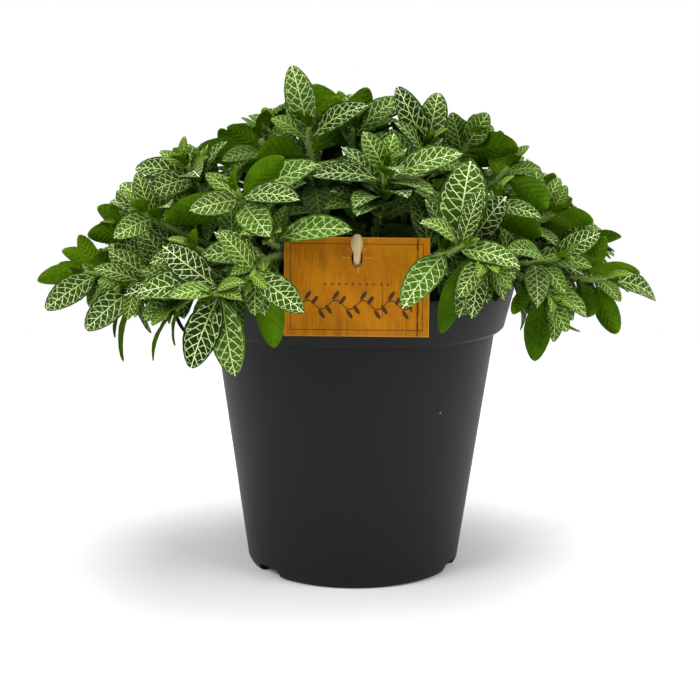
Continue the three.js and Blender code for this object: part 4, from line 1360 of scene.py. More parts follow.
@dataclass
class Thicket:
    """The shaded leaves on the stems, which fill gaps in the canopy behind the CAD's own leaves."""

    form: LeafForm
    eye: Point
    pitch: float
    first: float = 14.0
    spacing: float = 4.5
    last: float = 3.0
    at_each: int = 2
    tries: int = 50
    pitches: Span = (30, 100)
    droops: Span = (0, 0.3)
    length_spread: float = 14.0
    widths: Span = (0.42, 0.5)
    light_along: float = 0.6
    light_up: float = 0.9
    light_front: float = 0.5
    least_face: float = 0.3
    behind: float = 1.5
    stem_points: int = 40
    fine_points: int = 60
    blade_shares: Span = (0.13, 0.97)
    rows_along: int = 22
    rows_across: int = 11
    rows_skipped: int = 4
    covering: float = 0.86
    whole: float = 0.95
    sweeps: tuple[Sweep, ...] = (
        Sweep(least_gain=20, leaf_gap=3.6, shortest=21, root_gap=3.4, in_front=30),
        Sweep(least_gain=11, leaf_gap=2.8, shortest=15, root_gap=3.4, in_front=30),
        Sweep(least_gain=8, leaf_gap=1.8, shortest=15, root_gap=3.0, in_front=24),
        Sweep(least_gain=6, leaf_gap=1.2, shortest=12, root_gap=2.4, in_front=18),
        Sweep(least_gain=5, leaf_gap=1.0, shortest=19, root_gap=1.2, in_front=10),
    )
    shares: tuple[float, ...] = (0.3, 0.5, 0.7, 0.88, 1.0)
    middle: Point = (0, 0, 200)
    front_weight: float = 4.0
    other_eyes: tuple[Point, ...] = ((900, -150, 330), (-900, -150, 330), (0, 900, 330))
    eye_above: Point = (0, -1, 1200)
    pot_height: float = 158.0
    foot_radius: float = 57.4
    rim_radius: float = 86.4
    wall_seen: Span = (60, 149)
    wall_columns: int = 180
    wall_rows: int = 40
    first_seed: int = 9000
    seeds_apart: int = 100

    def samples(self, leaves: LeafSet) -> np.ndarray:
        """Points along the arched middle line of each leaf."""
        t = np.array(self.shares)[None, :, None]
        length = leaves.length[:, None, None]
        rise = self.form.arch * length * 4 * t * (1 - t)
        return leaves.root[:, None] + leaves.chord[:, None] * length * t + leaves.face[:, None] * rise

    def spread(self, leaves: LeafSet, share: float) -> np.ndarray:
        """Points all over each blade, in rows along its length and across a share of its width."""
        t = np.linspace(*self.blade_shares, self.rows_along)[None, :, None, None]
        side = np.linspace(-share, share, self.rows_across)[None, None, :, None]
        length = leaves.length[:, None, None, None]
        half = leaves.width[:, None, None, None] / 2 * length * self.form.oval(t)
        across = np.cross(leaves.chord, leaves.face)[:, None, None]
        rise = self.form.arch * length * 4 * t * (1 - t) + half * self.form.fold * side**2
        centre = leaves.root[:, None, None] + leaves.chord[:, None, None] * length * t
        points = centre + leaves.face[:, None, None] * rise + across * half * side
        return points.reshape(len(leaves.length), -1, 3)

    def pot_wall(self) -> np.ndarray:
        """Points over the pot's wall, a cone from its foot ring to its rim."""
        turn = np.linspace(0, 2 * math.pi, self.wall_columns)[:, None]
        high = np.linspace(*self.wall_seen, self.wall_rows)[None]
        radius = self.foot_radius + (self.rim_radius - self.foot_radius) * high / self.pot_height
        wall = np.broadcast_arrays(radius * np.cos(turn), radius * np.sin(turn), high)
        return np.stack(wall, -1).reshape(-1, 3)

    def views(self, leaves: np.ndarray) -> list[SightMap]:
        """The front view and four others, each with its gaps.

        The pot's wall counts in every view but the last, from above, where the leaves hide it.

        Args:
            leaves: points all over the leaves so far.

        Returns:
            The surveyed views.
        """
        front = np.array(self.eye) / MM
        ahead = np.array([0.0, math.cos(self.pitch), -math.sin(self.pitch)])
        found = [SightMap(front, front + ahead * np.linalg.norm(front), self.front_weight)]
        for eye in (*self.other_eyes, self.eye_above):
            found.append(SightMap(np.array(eye, float), np.array(self.middle, float), 1.0))
        wall = self.pot_wall()
        for view in found[:-1]:
            view.survey(leaves, wall)
        found[-1].survey(leaves, wall[:1])
        return found

    def grow(self, shoots: list["LeafyStem"]) -> int:
        """Adds leaves to the shoots where they have room and close a gap.

        Args:
            shoots: the shoots, already read.

        Returns:
            How many leaves were added.
        """
        room = Room(
            np.concatenate([self.samples(shoot.grown).reshape(-1, 3) for shoot in shoots]),
            np.concatenate([through(shoot.route, self.stem_points) for shoot in shoots]),
            np.concatenate([self.samples(shoot.leaves).reshape(-1, 3) for shoot in shoots]),
        )
        views = self.views(self.spread_all(shoots, self.covering))
        views[0].guard(self.spread_all(shoots, self.whole))
        for number, sweep in enumerate(self.sweeps):
            room.leaf_gap = sweep.leaf_gap
            first = self.first_seed + self.seeds_apart * number
            for shoot in shoots:
                rng = np.random.default_rng(first + shoot.number)
                self.fill(shoot, rng, room, views, sweep)
            left = [int(view.open.sum()) for view in views]
            grown = sum(len(shoot.filling) for shoot in shoots)
            LOG.info("sweep %d: %d leaves, open squares %s", number, grown, left)
        return grown

    def spread_all(self, shoots: list["LeafyStem"], share: float) -> np.ndarray:
        """Points all over the blades of all shoots."""
        return np.concatenate([self.spread(shoot.grown, share).reshape(-1, 3) for shoot in shoots])

    def fill(
        self,
        shoot: "LeafyStem",
        rng: np.random.Generator,
        room: Room,
        views: list[SightMap],
        sweep: Sweep,
    ) -> None:
        """Tries two leaves at each of the places along one stem.

        Args:
            shoot: the shoot.
            rng: the generator of this shoot's round.
            room: where leaves may grow.
            views: the views with their gaps.
            sweep: the round's limits.
        """
        line = through(shoot.route, self.fine_points)
        run = run_along(line)
        along = unit(np.gradient(line, axis=0))
        for at in np.arange(self.first, run[-1] - self.last, self.spacing):
            root = between(at, run, line)
            axis = unit(between(at, run, along))
            if np.linalg.norm(shoot.leaves.root - root, axis=1).min() < sweep.root_gap:
                continue
            for _ in range(self.at_each):
                leaf = self.place(root, axis, rng, room, views, sweep)
                if leaf is not None:
                    shoot.filling.append(leaf)
                    room.leaves = np.concatenate([room.leaves, self.samples(leaf)[0]])
                    for view in views:
                        view.cover(self.spread(leaf, self.covering))

    def place(
        self,
        root: np.ndarray,
        axis: np.ndarray,
        rng: np.random.Generator,
        room: Room,
        views: list[SightMap],
        sweep: Sweep,
    ) -> LeafSet | None:
        """Tries many headings for one leaf and takes the one that closes most of the gaps.

        Args:
            root: where it joins the stem.
            axis: the stem's direction there.
            rng: the shoot's generator.
            room: where leaves may grow.
            views: the views with their gaps.
            sweep: the round's limits.

        Returns:
            A set of the one leaf, or None where it finds no room.
        """
        side = unit(np.cross(UP, axis) + np.array([1e-3, 0, 0]))
        front = np.cross(axis, side)
        turn = rng.uniform(0, 2 * math.pi, (self.tries, 1))
        pitch = np.radians(rng.uniform(*self.pitches, (self.tries, 1)))
        droop = rng.uniform(*self.droops, (self.tries, 1))
        outwards = side * np.cos(turn) + front * np.sin(turn)
        chord = unit(axis * np.cos(pitch) + outwards * np.sin(pitch) - UP * droop)
        ahead = np.array([0, -self.light_front, 0]) * rng.uniform(0, 1, (self.tries, 1))
        light = axis * self.light_along + UP * self.light_up + ahead
        face = light - chord * (light * chord).sum(1, keepdims=True)
        leaves = LeafSet(
            np.tile(root, (self.tries, 1)),
            chord,
            unit(face),
            rng.uniform(sweep.shortest, sweep.shortest + self.length_spread, self.tries),
            rng.uniform(*self.widths, self.tries),
            np.zeros(self.tries),
        )
        points = self.spread(leaves, self.covering)
        gain = sum(view.gains(points) for view in views)
        gain = np.where(np.linalg.norm(face, axis=1) < self.least_face, 0, gain)
        blades = self.spread(leaves, self.whole)[:, self.rows_skipped * self.rows_across :]
        gain = np.where(views[0].behind(blades, self.behind, sweep.in_front), gain, 0)
        samples = self.samples(leaves)
        for index in np.argsort(-gain):
            if gain[index] < sweep.least_gain:
                break
            if room.free(samples[index]):
                return leaves.only(index)
        return None


@dataclass
class Foliage:
    """All the leafy stems."""

    eye: Point
    pitch: float
    count: int = 56

    def build(self, frame: dict) -> list[bpy.types.Object]:
        """Builds every shoot in its node's place.

        Args:
            frame: the loaded frame.

        Returns:
            The pieces.
        """
        form = LeafForm()
        leaf = LeafFinish(VeinNet(form))
        stem = StemFinish()
        finishes = [leaf.upper(), leaf.lower(), stem.stem(), stem.hairs()]
        low, high = (np.array(corner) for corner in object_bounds())
        shoots = [LeafyStem(number, form, finishes) for number in range(1, self.count + 1)]
        for shoot in shoots:
            shoot.read(frame["nodes"][shoot.name])
        LOG.info("%d leaves fill the gaps", Thicket(form, self.eye, self.pitch).grow(shoots))
        return [shoot.build(low, high) for shoot in shoots]


# Pot


@dataclass(frozen=True)
class PotFinish:
    """Satin dark grey moulded plastic."""

    colour: Colour = (0.0040, 0.0050, 0.0043)
    worn: Colour = (0.0072, 0.0086, 0.0076)
    dust: Colour = (0.30, 0.31, 0.30)
    speck_scale: float = 42.0
    speck_size: Span = (0.012, 0.028)
    speckless: float = 0.72
    gloss: float = 0.17

    def material(self) -> bpy.types.Material:
        """Fine vertical mould marks, a satin skin and a few pale specks."""
        r = Recipe("pot_plastic")
        place = r.place()
        x, y, z = r.parts(place)
        turn = r.math("ARCTAN2", y, x)
        streak = r.noise(r.vector(turn * 46, z * 9, 0.0))
        cloud = r.noise(place, scale=14.0, detail=3.0)
        colour = r.blend(streak * 0.45 + cloud * 0.45, self.colour, self.worn)
        near = 1 - r.step(r.cells(place, self.speck_scale), *self.speck_size)
        speck = near * (r.cell_chance(place, self.speck_scale) > self.speckless)
        colour = r.blend(speck * 0.75, colour, self.dust)
        grain = r.noise(place, scale=1500.0)
        rough = 0.4 + cloud * 0.12 + grain * 0.06
        bump = r.bump(streak * 0.5 + grain * 0.5, depth=0.12, strength=0.35)
        return r.finish(colour, rough, bump, Specular_IOR_Level=self.gloss)


@dataclass
class Pot:
    """The pot: the CAD solid with its 44 flat sides rounded to a true circle."""

    sides: int = 44
    cuts: int = 3
    same: float = 0.001
    same_radius: float = 0.01
    long_edge: float = 4.0
    tall: float = 60.0
    flat_angle: float = math.radians(0.4)
    sharp_angle: float = math.radians(28)

    def build(self, frame: dict) -> bpy.types.Object:
        """Rounds a merged copy of the CAD pot.

        Level edges are divided, and each point's distance from the axis grows by the cosine of its turn
        from the side's middle over the cosine of half a side, which lays a flat side on its circle.

        Args:
            frame: the loaded frame.

        Returns:
            The finished piece.
        """
        mesh = frame["nodes"]["pot"].data.copy()
        mesh.name = "pot_shell"
        work = bmesh.new()
        work.from_mesh(mesh)
        bmesh.ops.remove_doubles(work, verts=work.verts, dist=self.same * MM)
        bmesh.ops.dissolve_limit(work, angle_limit=self.flat_angle, verts=work.verts, edges=work.edges)
        level = [edge for edge in work.edges if self.is_level(edge)]
        bmesh.ops.subdivide_edges(work, edges=level, cuts=self.cuts, use_grid_fill=True)
        bmesh.ops.triangulate(work, faces=[f for f in work.faces if len(f.verts) > 4])
        work.to_mesh(mesh)
        work.free()
        points = fetched(mesh.vertices, "co", 3).astype(float)
        side = 2 * math.pi / self.sides
        turn = np.arctan2(points[:, 1], points[:, 0])
        off = (turn / side - np.floor(turn / side) - 0.5) * side
        points[:, :2] *= (np.cos(off) / math.cos(side / 2))[:, None]
        mesh.vertices.foreach_set("co", points.astype(np.float32).ravel())
        mesh.materials.clear()
        mesh.materials.append(PotFinish().material())
        mesh.polygons.foreach_set("use_smooth", np.ones(len(mesh.polygons), bool))
        mesh.update()
        piece = linked("pot_shell", mesh)
        mesh.set_sharp_from_angle(angle=self.sharp_angle)
        self.round_shading(mesh)
        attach(piece, ROOT_BODY)
        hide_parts("pot")
        LOG.info("%s: %d faces", piece.name, len(mesh.polygons))
        return piece

    def is_level(self, edge: bmesh.types.BMEdge) -> bool:
        """Whether an edge runs level along a side of the pot, and is long enough to be divided."""
        one, two = (vertex.co for vertex in edge.verts)
        level = abs(one.z - two.z) < self.same * MM
        even = abs(one.xy.length - two.xy.length) < self.same_radius * MM
        return level and even and edge.calc_length() > self.long_edge * MM

    def round_shading(self, mesh: bpy.types.Mesh) -> None:
        """Gives the tall faces of the wall the normals of a true cone.

        A corner's normal points straight away from the axis outside, or straight at it inside, and has the
        middle slope of its side of the wall.

        Args:
            mesh: the pot's mesh, with its sharp edges set.
        """
        normals = fetched(mesh.corner_normals, "vector", 3).astype(float)
        points = fetched(mesh.vertices, "co", 3).astype(float)
        corners = points[fetched(mesh.loops, "vertex_index", 1, np.int32)]
        starts = fetched(mesh.polygons, "loop_start", 1, np.int32)
        face_normals = fetched(mesh.polygons, "normal", 3).astype(float)
        centres = fetched(mesh.polygons, "center", 3).astype(float)
        rise = np.maximum.reduceat(corners[:, 2], starts) - np.minimum.reduceat(corners[:, 2], starts)
        tall = rise > self.tall * MM
        outwards = (face_normals[:, :2] * centres[:, :2]).sum(1)
        sizes = np.diff(np.append(starts, len(corners)))
        for sign in (1.0, -1.0):
            side = tall & (sign * outwards > 0)
            slope = np.median(face_normals[side, 2])
            chosen = np.repeat(side, sizes)
            normals[chosen, :2] = unit(corners[chosen, :2]) * sign * math.sqrt(1 - slope * slope)
            normals[chosen, 2] = slope
        mesh.normals_split_custom_set(unit(normals).tolist())


# Soil


@dataclass(frozen=True)
class SoilFinish:
    """Dark peat with fibres and a few pale grains."""

    dark: Colour = (0.010, 0.006, 0.004)
    brown: Colour = (0.045, 0.026, 0.014)
    pale: Colour = (0.32, 0.29, 0.24)
    crumb_scale: float = 380.0
    grain_scale: float = 260.0
    grainless: float = 0.955

    def material(self) -> bpy.types.Material:
        """Rough crumbs in two browns."""
        r = Recipe("soil_peat")
        place = r.place()
        lumps = r.noise(place, scale=160.0, detail=5.0, roughness=0.7)
        crumbs = r.cells(place, self.crumb_scale)
        grains = r.cell_chance(place, self.grain_scale) > self.grainless
        colour = r.blend(r.step(lumps, 0.35, 0.7), self.dark, self.brown)
        colour = r.blend(grains * 0.8, colour, self.pale)
        return r.finish(colour, 0.85 + lumps * 0.12, r.bump(lumps * 0.7 + crumbs * 0.5, depth=1.6))


@dataclass
class SoilCrumbs:
    """Loose crumbs that lie on the soil between the stems."""

    peat: bpy.types.Material
    count: int = 420
    reach: float = 76.0
    edge_height: float = 147.0
    crown_height: float = 151.0
    edge_radius: float = 84.0
    small: float = 0.9
    large: float = 2.6
    stretch: Span = (0.6, 1.3)
    raised: float = 0.2
    seed: int = 77

    def build(self) -> bpy.types.Object:
        """Scatters crumbs: eight-faced lumps with uneven corners, half sunk in the soil.

        A crumb at distance r from the axis lies at the crown's height less the fall to the edge times
        the square of r over the edge's radius.

        Returns:
            The piece.
        """
        rng = np.random.default_rng(self.seed)
        turn = rng.uniform(0, 2 * math.pi, self.count)
        radius = self.reach * np.sqrt(rng.uniform(0, 1, self.count))
        size = self.small + (self.large - self.small) * rng.uniform(0, 1, self.count) ** 2
        fall = (self.crown_height - self.edge_height) * (radius / self.edge_radius) ** 2
        high = self.crown_height - fall + size * self.raised
        centre = np.stack([radius * np.cos(turn), radius * np.sin(turn), high], -1)
        corners = np.array([[1, 0, 0], [-1, 0, 0], [0, 1, 0], [0, -1, 0], [0, 0, 1], [0, 0, -1]], float)
        stretch = rng.uniform(*self.stretch, (self.count, 6, 1))
        points = centre[:, None] + corners * stretch * size[:, None, None]
        faces = np.array([
            [0, 2, 4], [2, 1, 4], [1, 3, 4], [3, 0, 4], [2, 0, 5], [1, 2, 5], [3, 1, 5], [0, 3, 5],
        ])
        mesh = bpy.data.meshes.new("soil_crumbs")
        mesh.from_pydata((points.reshape(-1, 3) * MM).tolist(), [], repeated(faces, self.count, 6).tolist())
        mesh.materials.append(self.peat)
        piece = linked("soil_crumbs", mesh)
        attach(piece, ROOT_BODY)
        LOG.info("%s: %d crumbs", piece.name, self.count)
        return piece


# Card and peg


@dataclass(frozen=True)
class CardPlace:
    """Where the card stands, and its size."""

    width: float = 71.0
    height: float = 48.5
    thickness: float = 1.2
    foot: Point = (0.6, -91.2, 141.4)
    lean: float = math.radians(5)
    hole_drop: float = 10.2

    def axes(self, r: Recipe) -> tuple[Wire, Wire, Wire]:
        """Places on the card in millimetres: to the right of its middle, up its face, and out of it."""
        x, y, z = r.parts(r.place())
        out_y = y / MM - self.foot[1]
        up_z = z / MM - self.foot[2]
        rise = up_z * math.cos(self.lean) + out_y * math.sin(self.lean)
        depth = up_z * math.sin(self.lean) - out_y * math.cos(self.lean)
        return x / MM - self.foot[0], rise, depth

    def point(self, x: np.ndarray, rise: np.ndarray, depth: np.ndarray) -> np.ndarray:
        """Points of the frame from places on the card."""
        across = x + self.foot[0]
        back = self.foot[1] + rise * math.sin(self.lean) - depth * math.cos(self.lean)
        high = self.foot[2] + rise * math.cos(self.lean) + depth * math.sin(self.lean)
        return np.stack(np.broadcast_arrays(across, back, high), -1)


@dataclass(frozen=True)
class CardFinish:
    """Orange-brown wood with upright grain, printed with a vine, a row of dots and a thin frame.

    Each of the streaks has a place across, a width, a strength and its lowest and highest place. Each of
    the slits has a turn in degrees and the distances from the hole's middle at which it starts and ends.
    """

    place: CardPlace
    amber: Colour = (0.335, 0.110, 0.0008)
    honey: Colour = (0.54, 0.205, 0.0012)
    russet: Colour = (0.17, 0.056, 0.0005)
    dark: Colour = (0.03, 0.012, 0.003)
    cream: Colour = (0.66, 0.42, 0.13)
    rim: Colour = (0.62, 0.33, 0.06)
    ink: Colour = (0.045, 0.022, 0.012)
    vine_rise: float = 15.5
    vine_wave: float = 13.6
    vine_swing: float = 2.2
    vine_reach: float = 27.2
    vine_stem: Span = (0.22, 0.48)
    vine_leaves: tuple[tuple[float, ...], ...] = (
        (0.25, 1, 4.6), (0.75, -1, 4.6), (0.0, -1, 2.3), (0.5, 1, 2.3),
    )
    vine_leaf_half: Span = (1.25, 2.3)
    vine_leaf_lean: float = 0.55
    dots_rise: float = 25.6
    dots_reach: float = 17.0
    dots_apart: float = 3.4
    frame_half: float = 21.0
    frame_margin: float = 3.2
    streaks: tuple[tuple[float, ...], ...] = ((29.7, 0.55, 0.95, -5, 60), (12.6, 0.35, 0.5, 9, 27))
    slits: tuple[tuple[float, ...], ...] = (
        (2, 3.0, 7.6), (178, 3.0, 7.6), (132, 4.2, 6.8), (48, 4.2, 6.8), (-84, 4.4, 7.6),
    )
    gloss: float = 0.12

    def grain(self, r: Recipe, x: Wire, rise: Wire) -> tuple[Wire, Wire]:
        """Upright fibres, wide bands and the dark broken streaks.

        Args:
            r: the recipe.
            x: place to the right.
            rise: place up.

        Returns:
            The colour and the fibre mask.
        """
        fibre = r.noise(r.vector(x * 2.6, rise * 0.09, 0.0), detail=3.0, roughness=0.6)
        band = r.noise(r.vector(x * 0.17, rise * 0.012, 4.0))
        cloud = r.noise(r.vector(x * 0.06, rise * 0.05, 9.0), detail=1.0)
        colour = r.blend(r.step(fibre, 0.3, 0.72), self.amber, self.honey)
        fine = r.noise(r.vector(x * 5.5, rise * 0.25, 7.0))
        colour = r.blend((1 - r.step(fine, 0.3, 0.48)) * 0.62, colour, self.russet)
        colour = r.blend(r.step(band, 0.5, 0.72) * 0.55, colour, self.russet)
        colour = r.blend(r.step(cloud, 0.42, 0.62) * 0.5, colour, self.honey)
        smudge = r.step(r.noise(r.vector(x * 0.3, rise * 0.1, 13.0)), 0.42, 0.7)
        at_foot = 1 - r.step(rise, 2.0, 14.0)
        colour = r.blend(smudge * (at_foot * 0.2 + 0.1), colour, self.russet)
        for streak_x, width, strength, lowest, highest in self.streaks:
            bend = r.noise(r.vector(rise * 0.12, streak_x, 0.0)) - 0.5
            away = abs(x - streak_x + bend * 1.6)
            breaks = r.noise(r.vector(streak_x, rise * 0.3, 2.0))
            broken = r.step(breaks, 0.22, 0.62) * 0.65 + 0.35
            there = (rise > lowest) * (rise < highest)
            mask = (1 - r.step(away, width * 0.35, width * 1.3)) * broken * there * strength
            colour = r.blend(mask, colour, self.dark)
        return colour, fibre

    def cuts(self, r: Recipe, x: Wire, rise: Wire) -> Wire:
        """Pale cuts that run out from the hole, each a thin bar from one radius to another."""
        up = rise - (self.place.height - self.place.hole_drop)
        bars = []
        for degrees, start, end in self.slits:
            c, s = math.cos(math.radians(degrees)), math.sin(math.radians(degrees))
            along = x * c + up * s
            aside = abs(up * c - x * s)
            bars.append((1 - r.step(aside, 0.08, 0.28)) * (along > start) * (along < end))
        return r.largest(*bars)

    def print(self, r: Recipe, x: Wire, rise: Wire) -> Wire:
        """The printed vine, with a row of dots over it and a thin frame.

        The vine's stem is a sine of the place along the card. Each of its leaves is an oval that leans
        along it, and comes at a share of every wave, up or down, at a distance from the middle line.

        Args:
            r: the recipe.
            x: place to the right.
            rise: place up.

        Returns:
            The ink's mask.
        """
        within = abs(x) < self.vine_reach
        turn = x / self.vine_wave
        up = rise - self.vine_rise
        stem = up - r.math("SINE", turn * (2 * math.pi)) * self.vine_swing
        masks = [(1 - r.step(abs(stem), *self.vine_stem)) * within]
        half_wide, half_long = self.vine_leaf_half
        for shift, side, away in self.vine_leaves:
            place = (r.math("FRACT", turn - shift + 0.5) - 0.5) * self.vine_wave
            above = up * side - away
            aside = place - above * self.vine_leaf_lean
            oval = (aside / half_wide) ** 2 + (above / half_long) ** 2
            masks.append((1 - r.step(oval, 0.72, 1.0)) * within)
        dots = (r.math("FRACT", x / self.dots_apart) - 0.5) * self.dots_apart
        high = rise - self.dots_rise
        masks.append((1 - r.step(dots * dots + high * high, 0.16, 0.4)) * (abs(x) < self.dots_reach))
        from_side = abs(x) - (self.place.width / 2 - self.frame_margin)
        edge = r.largest(from_side, abs(rise - self.place.height / 2) - self.frame_half)
        masks.append(1 - r.step(abs(edge), 0.08, 0.28))
        worn = r.step(r.noise(r.vector(x, rise, 5.0), scale=1.4, detail=3.0), 0.25, 0.45) * 0.35 + 0.6
        return r.largest(*masks) * worn

    def material(self) -> bpy.types.Material:
        """The wood, its print on the front face and its paler edges."""
        r = Recipe("card_wood")
        x, rise, depth = self.place.axes(r)
        colour, fibre = self.grain(r, x, rise)
        front = depth > self.place.thickness / 2 - 0.2
        colour = r.blend(self.print(r, x, rise) * front, colour, self.ink)
        colour = r.blend(self.cuts(r, x, rise) * front * 0.7, colour, self.cream)
        half_wide = self.place.width / 2
        half_high = self.place.height / 2
        border = r.largest(abs(x) - (half_wide - 0.5), abs(rise - half_high) - (half_high - 0.5))
        colour = r.blend(r.step(border, -0.1, 0.3) * 0.45, colour, self.rim)
        bump = r.bump(fibre, depth=0.12, strength=0.5)
        return r.finish(colour, 0.46 + fibre * 0.16, bump, Specular_IOR_Level=self.gloss)


@dataclass(frozen=True)
class PegFinish:
    """Pale split bamboo."""

    pale: Colour = (0.66, 0.52, 0.28)
    warm: Colour = (0.47, 0.36, 0.15)
    end: Colour = (0.30, 0.20, 0.07)
    gloss: float = 0.35

    def material(self) -> bpy.types.Material:
        """Lengthwise fibres that darken towards the lower end."""
        r = Recipe("peg_bamboo")
        u, w = r.flat_map("peg")
        fibre = r.noise(r.vector(u * 5, w * 30, 0.0), detail=3.0, roughness=0.6)
        colour = r.blend(r.step(fibre, 0.35, 0.7), self.pale, self.warm)
        colour = r.blend(r.step(u, 0.6, 0.2) * 0.5, colour, self.end)
        blotch = r.noise(r.place(), scale=420.0)
        colour = r.blend(r.step(blotch, 0.52, 0.7) * 0.35, colour, self.warm)
        bump = r.bump(fibre, depth=0.25, strength=0.7)
        return r.finish(colour, 0.6 + fibre * 0.15, bump, Specular_IOR_Level=self.gloss)


@dataclass
class Peg:
    """The bamboo stick through the card: a turned form with a rounded, slightly uneven head."""

    place: CardPlace
    lean: float = math.radians(36)
    head: float = 15.4
    around: int = 20
    dents: float = 0.04
    dented_above: float = 4.0
    outline: tuple[Span, ...] = (
        (0.5, -60.6), (1.7, -55.0), (3.1, -48.6), (3.1, -30.0), (3.1, -9.0), (2.45, -6.9), (1.9, -5.5),
        (1.86, -1.0), (1.9, 3.8), (2.2, 4.8), (2.5, 5.6), (2.85, 7.0), (3.05, 8.6), (3.08, 10.0),
        (2.9, 11.4), (2.5, 13.1), (1.9, 14.4), (1.0, 15.1),
    )

    def build(self) -> bpy.types.Object:
        """Turns the outline, pairs of a radius and a height, about the axis through the card's hole.

        Over the hole the radius is less by dents times 1 plus the cosine of three turns.

        Returns:
            The piece.
        """
        radius, height = (np.array(column) for column in zip(*self.outline))
        turn = np.linspace(0, 2 * math.pi, self.around, endpoint=False)
        axis = np.array([0, -math.sin(self.lean), math.cos(self.lean)])
        side = np.array([1.0, 0, 0])
        front = np.cross(axis, side)
        hole = self.place.point(0.0, self.place.height - self.place.hole_drop, 0.0)
        flat = 1 - self.dents * (1 + np.cos(3 * turn + 0.6)) * (height[:, None] > self.dented_above)
        spoke = np.cos(turn)[:, None] * side + np.sin(turn)[:, None] * front
        ringed = hole + axis * height[:, None, None] + spoke * (radius[:, None] * flat)[..., None]
        ends = np.stack([hole + axis * height[0], hole + axis * self.head])
        points = np.concatenate([ringed.reshape(-1, 3), ends])
        quads, tris = tube_faces(len(radius), self.around)
        mesh = bpy.data.meshes.new("peg_stick")
        mesh.from_pydata((points * MM).tolist(), [], quads.tolist() + tris.tolist())
        share = (height - height[0]) / (self.head - height[0])
        round_it = np.tile(np.arange(self.around) / self.around, len(radius))
        maps = np.stack([np.repeat(share, self.around), round_it], -1)
        maps = np.concatenate([maps, POLE_MAP])
        corners = fetched(mesh.loops, "vertex_index", 1, np.int32)
        mesh.uv_layers.new(name="peg").uv.foreach_set("vector", maps[corners].astype(np.float32).ravel())
        mesh.polygons.foreach_set("use_smooth", np.ones(len(mesh.polygons), bool))
        mesh.materials.append(PegFinish().material())
        piece = linked("peg_stick", mesh)
        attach(piece, ROOT_BODY)
        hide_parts("peg")
        LOG.info("%s: %d faces", piece.name, len(mesh.polygons))
        return piece


# Studio


def placed(made: bpy.types.Object, right: np.ndarray, above: np.ndarray, back: np.ndarray, at: Point) -> None:
    """Turns an object to three axes of its own and puts it at a place."""
    rows = np.stack([right, above, back, np.array(at)], 1)
    made.matrix_world = Matrix([*rows.tolist(), [0, 0, 0, 1]])


@dataclass(frozen=True)
class Lamp:
    """A square soft light: its place, its side in metres and its power in watts."""

    name: str
    at: Point
    size: float
    watts: float

    def light(self, aim: Point) -> None:
        """Puts the light in the scene, pointed at a place."""
        data = bpy.data.lights.new(self.name, "AREA")
        data.shape = "SQUARE"
        data.size = self.size
        data.energy = self.watts
        back = unit(np.array(self.at) - np.array(aim))
        side = unit(np.cross(LAMP_ASIDE, back))
        placed(linked(self.name, data), side, np.cross(back, side), back, self.at)


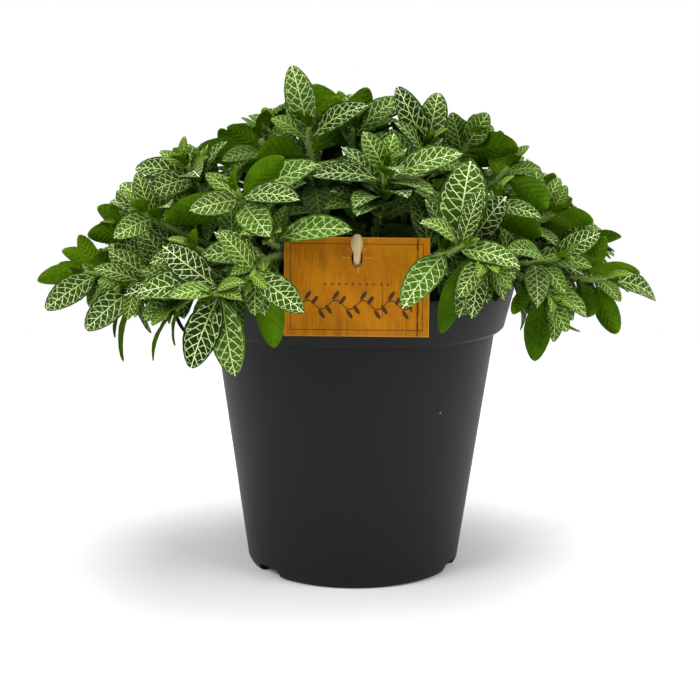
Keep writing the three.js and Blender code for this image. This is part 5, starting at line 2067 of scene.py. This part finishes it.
@dataclass
class Studio:
    """The camera, a pale floor and soft lights, in metres and radians."""

    eye: Point = (0.0, -0.9168, 0.2941)
    pitch: float = 0.1908
    roll: float = -0.0104
    focal_pixels: float = 1715.0
    middle_pixel: float = 354.8
    frame_pixels: float = 700.0
    sensor: float = 36.0
    clip: Span = (0.02, 50.0)
    floor_radius: float = 0.75
    floor_sides: int = 96
    floor_dull: Colour = (0.87, 0.87, 0.865)
    floor_pale: Colour = (0.9, 0.9, 0.895)
    light_strength: float = 0.2
    aim: Point = (0.0, 0.0, 0.2)
    lamps: tuple[Lamp, ...] = (
        Lamp("light_left", (-0.9, -0.75, 0.95), 0.9, 18),
        Lamp("light_right", (1.0, -0.55, 0.8), 0.9, 13),
        Lamp("light_top", (0.1, 0.15, 1.3), 1.0, 18),
    )

    def camera(self) -> None:
        """The photograph's camera, turned by its roll about its line of sight."""
        data = bpy.data.cameras.new("camera")
        data.sensor_width = self.sensor
        data.lens = self.focal_pixels / self.frame_pixels * self.sensor
        data.shift_x = (self.frame_pixels / 2 - self.middle_pixel) / self.frame_pixels
        data.clip_start, data.clip_end = self.clip
        ahead = np.array([0, math.cos(self.pitch), -math.sin(self.pitch)])
        right = np.array([1.0, 0, 0])
        above = np.cross(right, ahead)
        c, s = math.cos(self.roll), math.sin(self.roll)
        right, above = right * c - above * s, right * s + above * c
        camera = linked("camera", data)
        placed(camera, right, above, -ahead, self.eye)
        bpy.context.scene.camera = camera

    def floor(self) -> None:
        """A round pale floor under the pot."""
        turn = np.linspace(0, 2 * math.pi, self.floor_sides, endpoint=False)
        rim = np.stack([np.cos(turn), np.sin(turn), np.zeros(self.floor_sides)], -1) * self.floor_radius
        mesh = bpy.data.meshes.new("floor")
        mesh.from_pydata(rim.tolist(), [], [list(range(self.floor_sides))])
        r = Recipe("floor_white")
        cloud = r.noise(r.place(), scale=3.0)
        mesh.materials.append(r.finish(r.blend(cloud, self.floor_dull, self.floor_pale), roughness=0.8))
        floor = linked("floor", mesh)
        floor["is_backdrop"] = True

    def world(self) -> None:
        """White surroundings, bright behind the object and softer as a light."""
        r = Recipe("studio", bpy.data.worlds)
        seen = r.node("ShaderNodeLightPath", out="Is Camera Ray")
        white = {"Color": (1, 1, 1, 1)}
        shown = r.node("ShaderNodeBackground", None, {**white, "Strength": 1.0})
        lit = r.node("ShaderNodeBackground", None, {**white, "Strength": self.light_strength})
        mixed = r.node("ShaderNodeMixShader", None, {0: seen, 1: lit, 2: shown})
        r.node("ShaderNodeOutputWorld", None, {"Surface": mixed})
        bpy.context.scene.world = r.owner

    def build(self) -> None:
        """Sets up the whole studio."""
        self.camera()
        self.floor()
        self.world()
        for lamp in self.lamps:
            lamp.light(self.aim)
        bpy.context.scene.view_settings.view_transform = "Standard"


def main() -> None:
    """Builds the studio and every piece."""
    logging.basicConfig(level=logging.INFO, format="%(message)s")
    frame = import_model()
    studio = Studio()
    studio.build()
    place = CardPlace()
    peat = SoilFinish().material()
    Pot().build(frame)
    frame["nodes"]["soil"].material_slots[0].material = peat
    SoilCrumbs(peat).build()
    frame["nodes"]["card"].material_slots[0].material = CardFinish(place).material()
    Peg(place).build()
    Foliage(studio.eye, studio.pitch).build(frame)


if __name__ == "__main__":
    main()
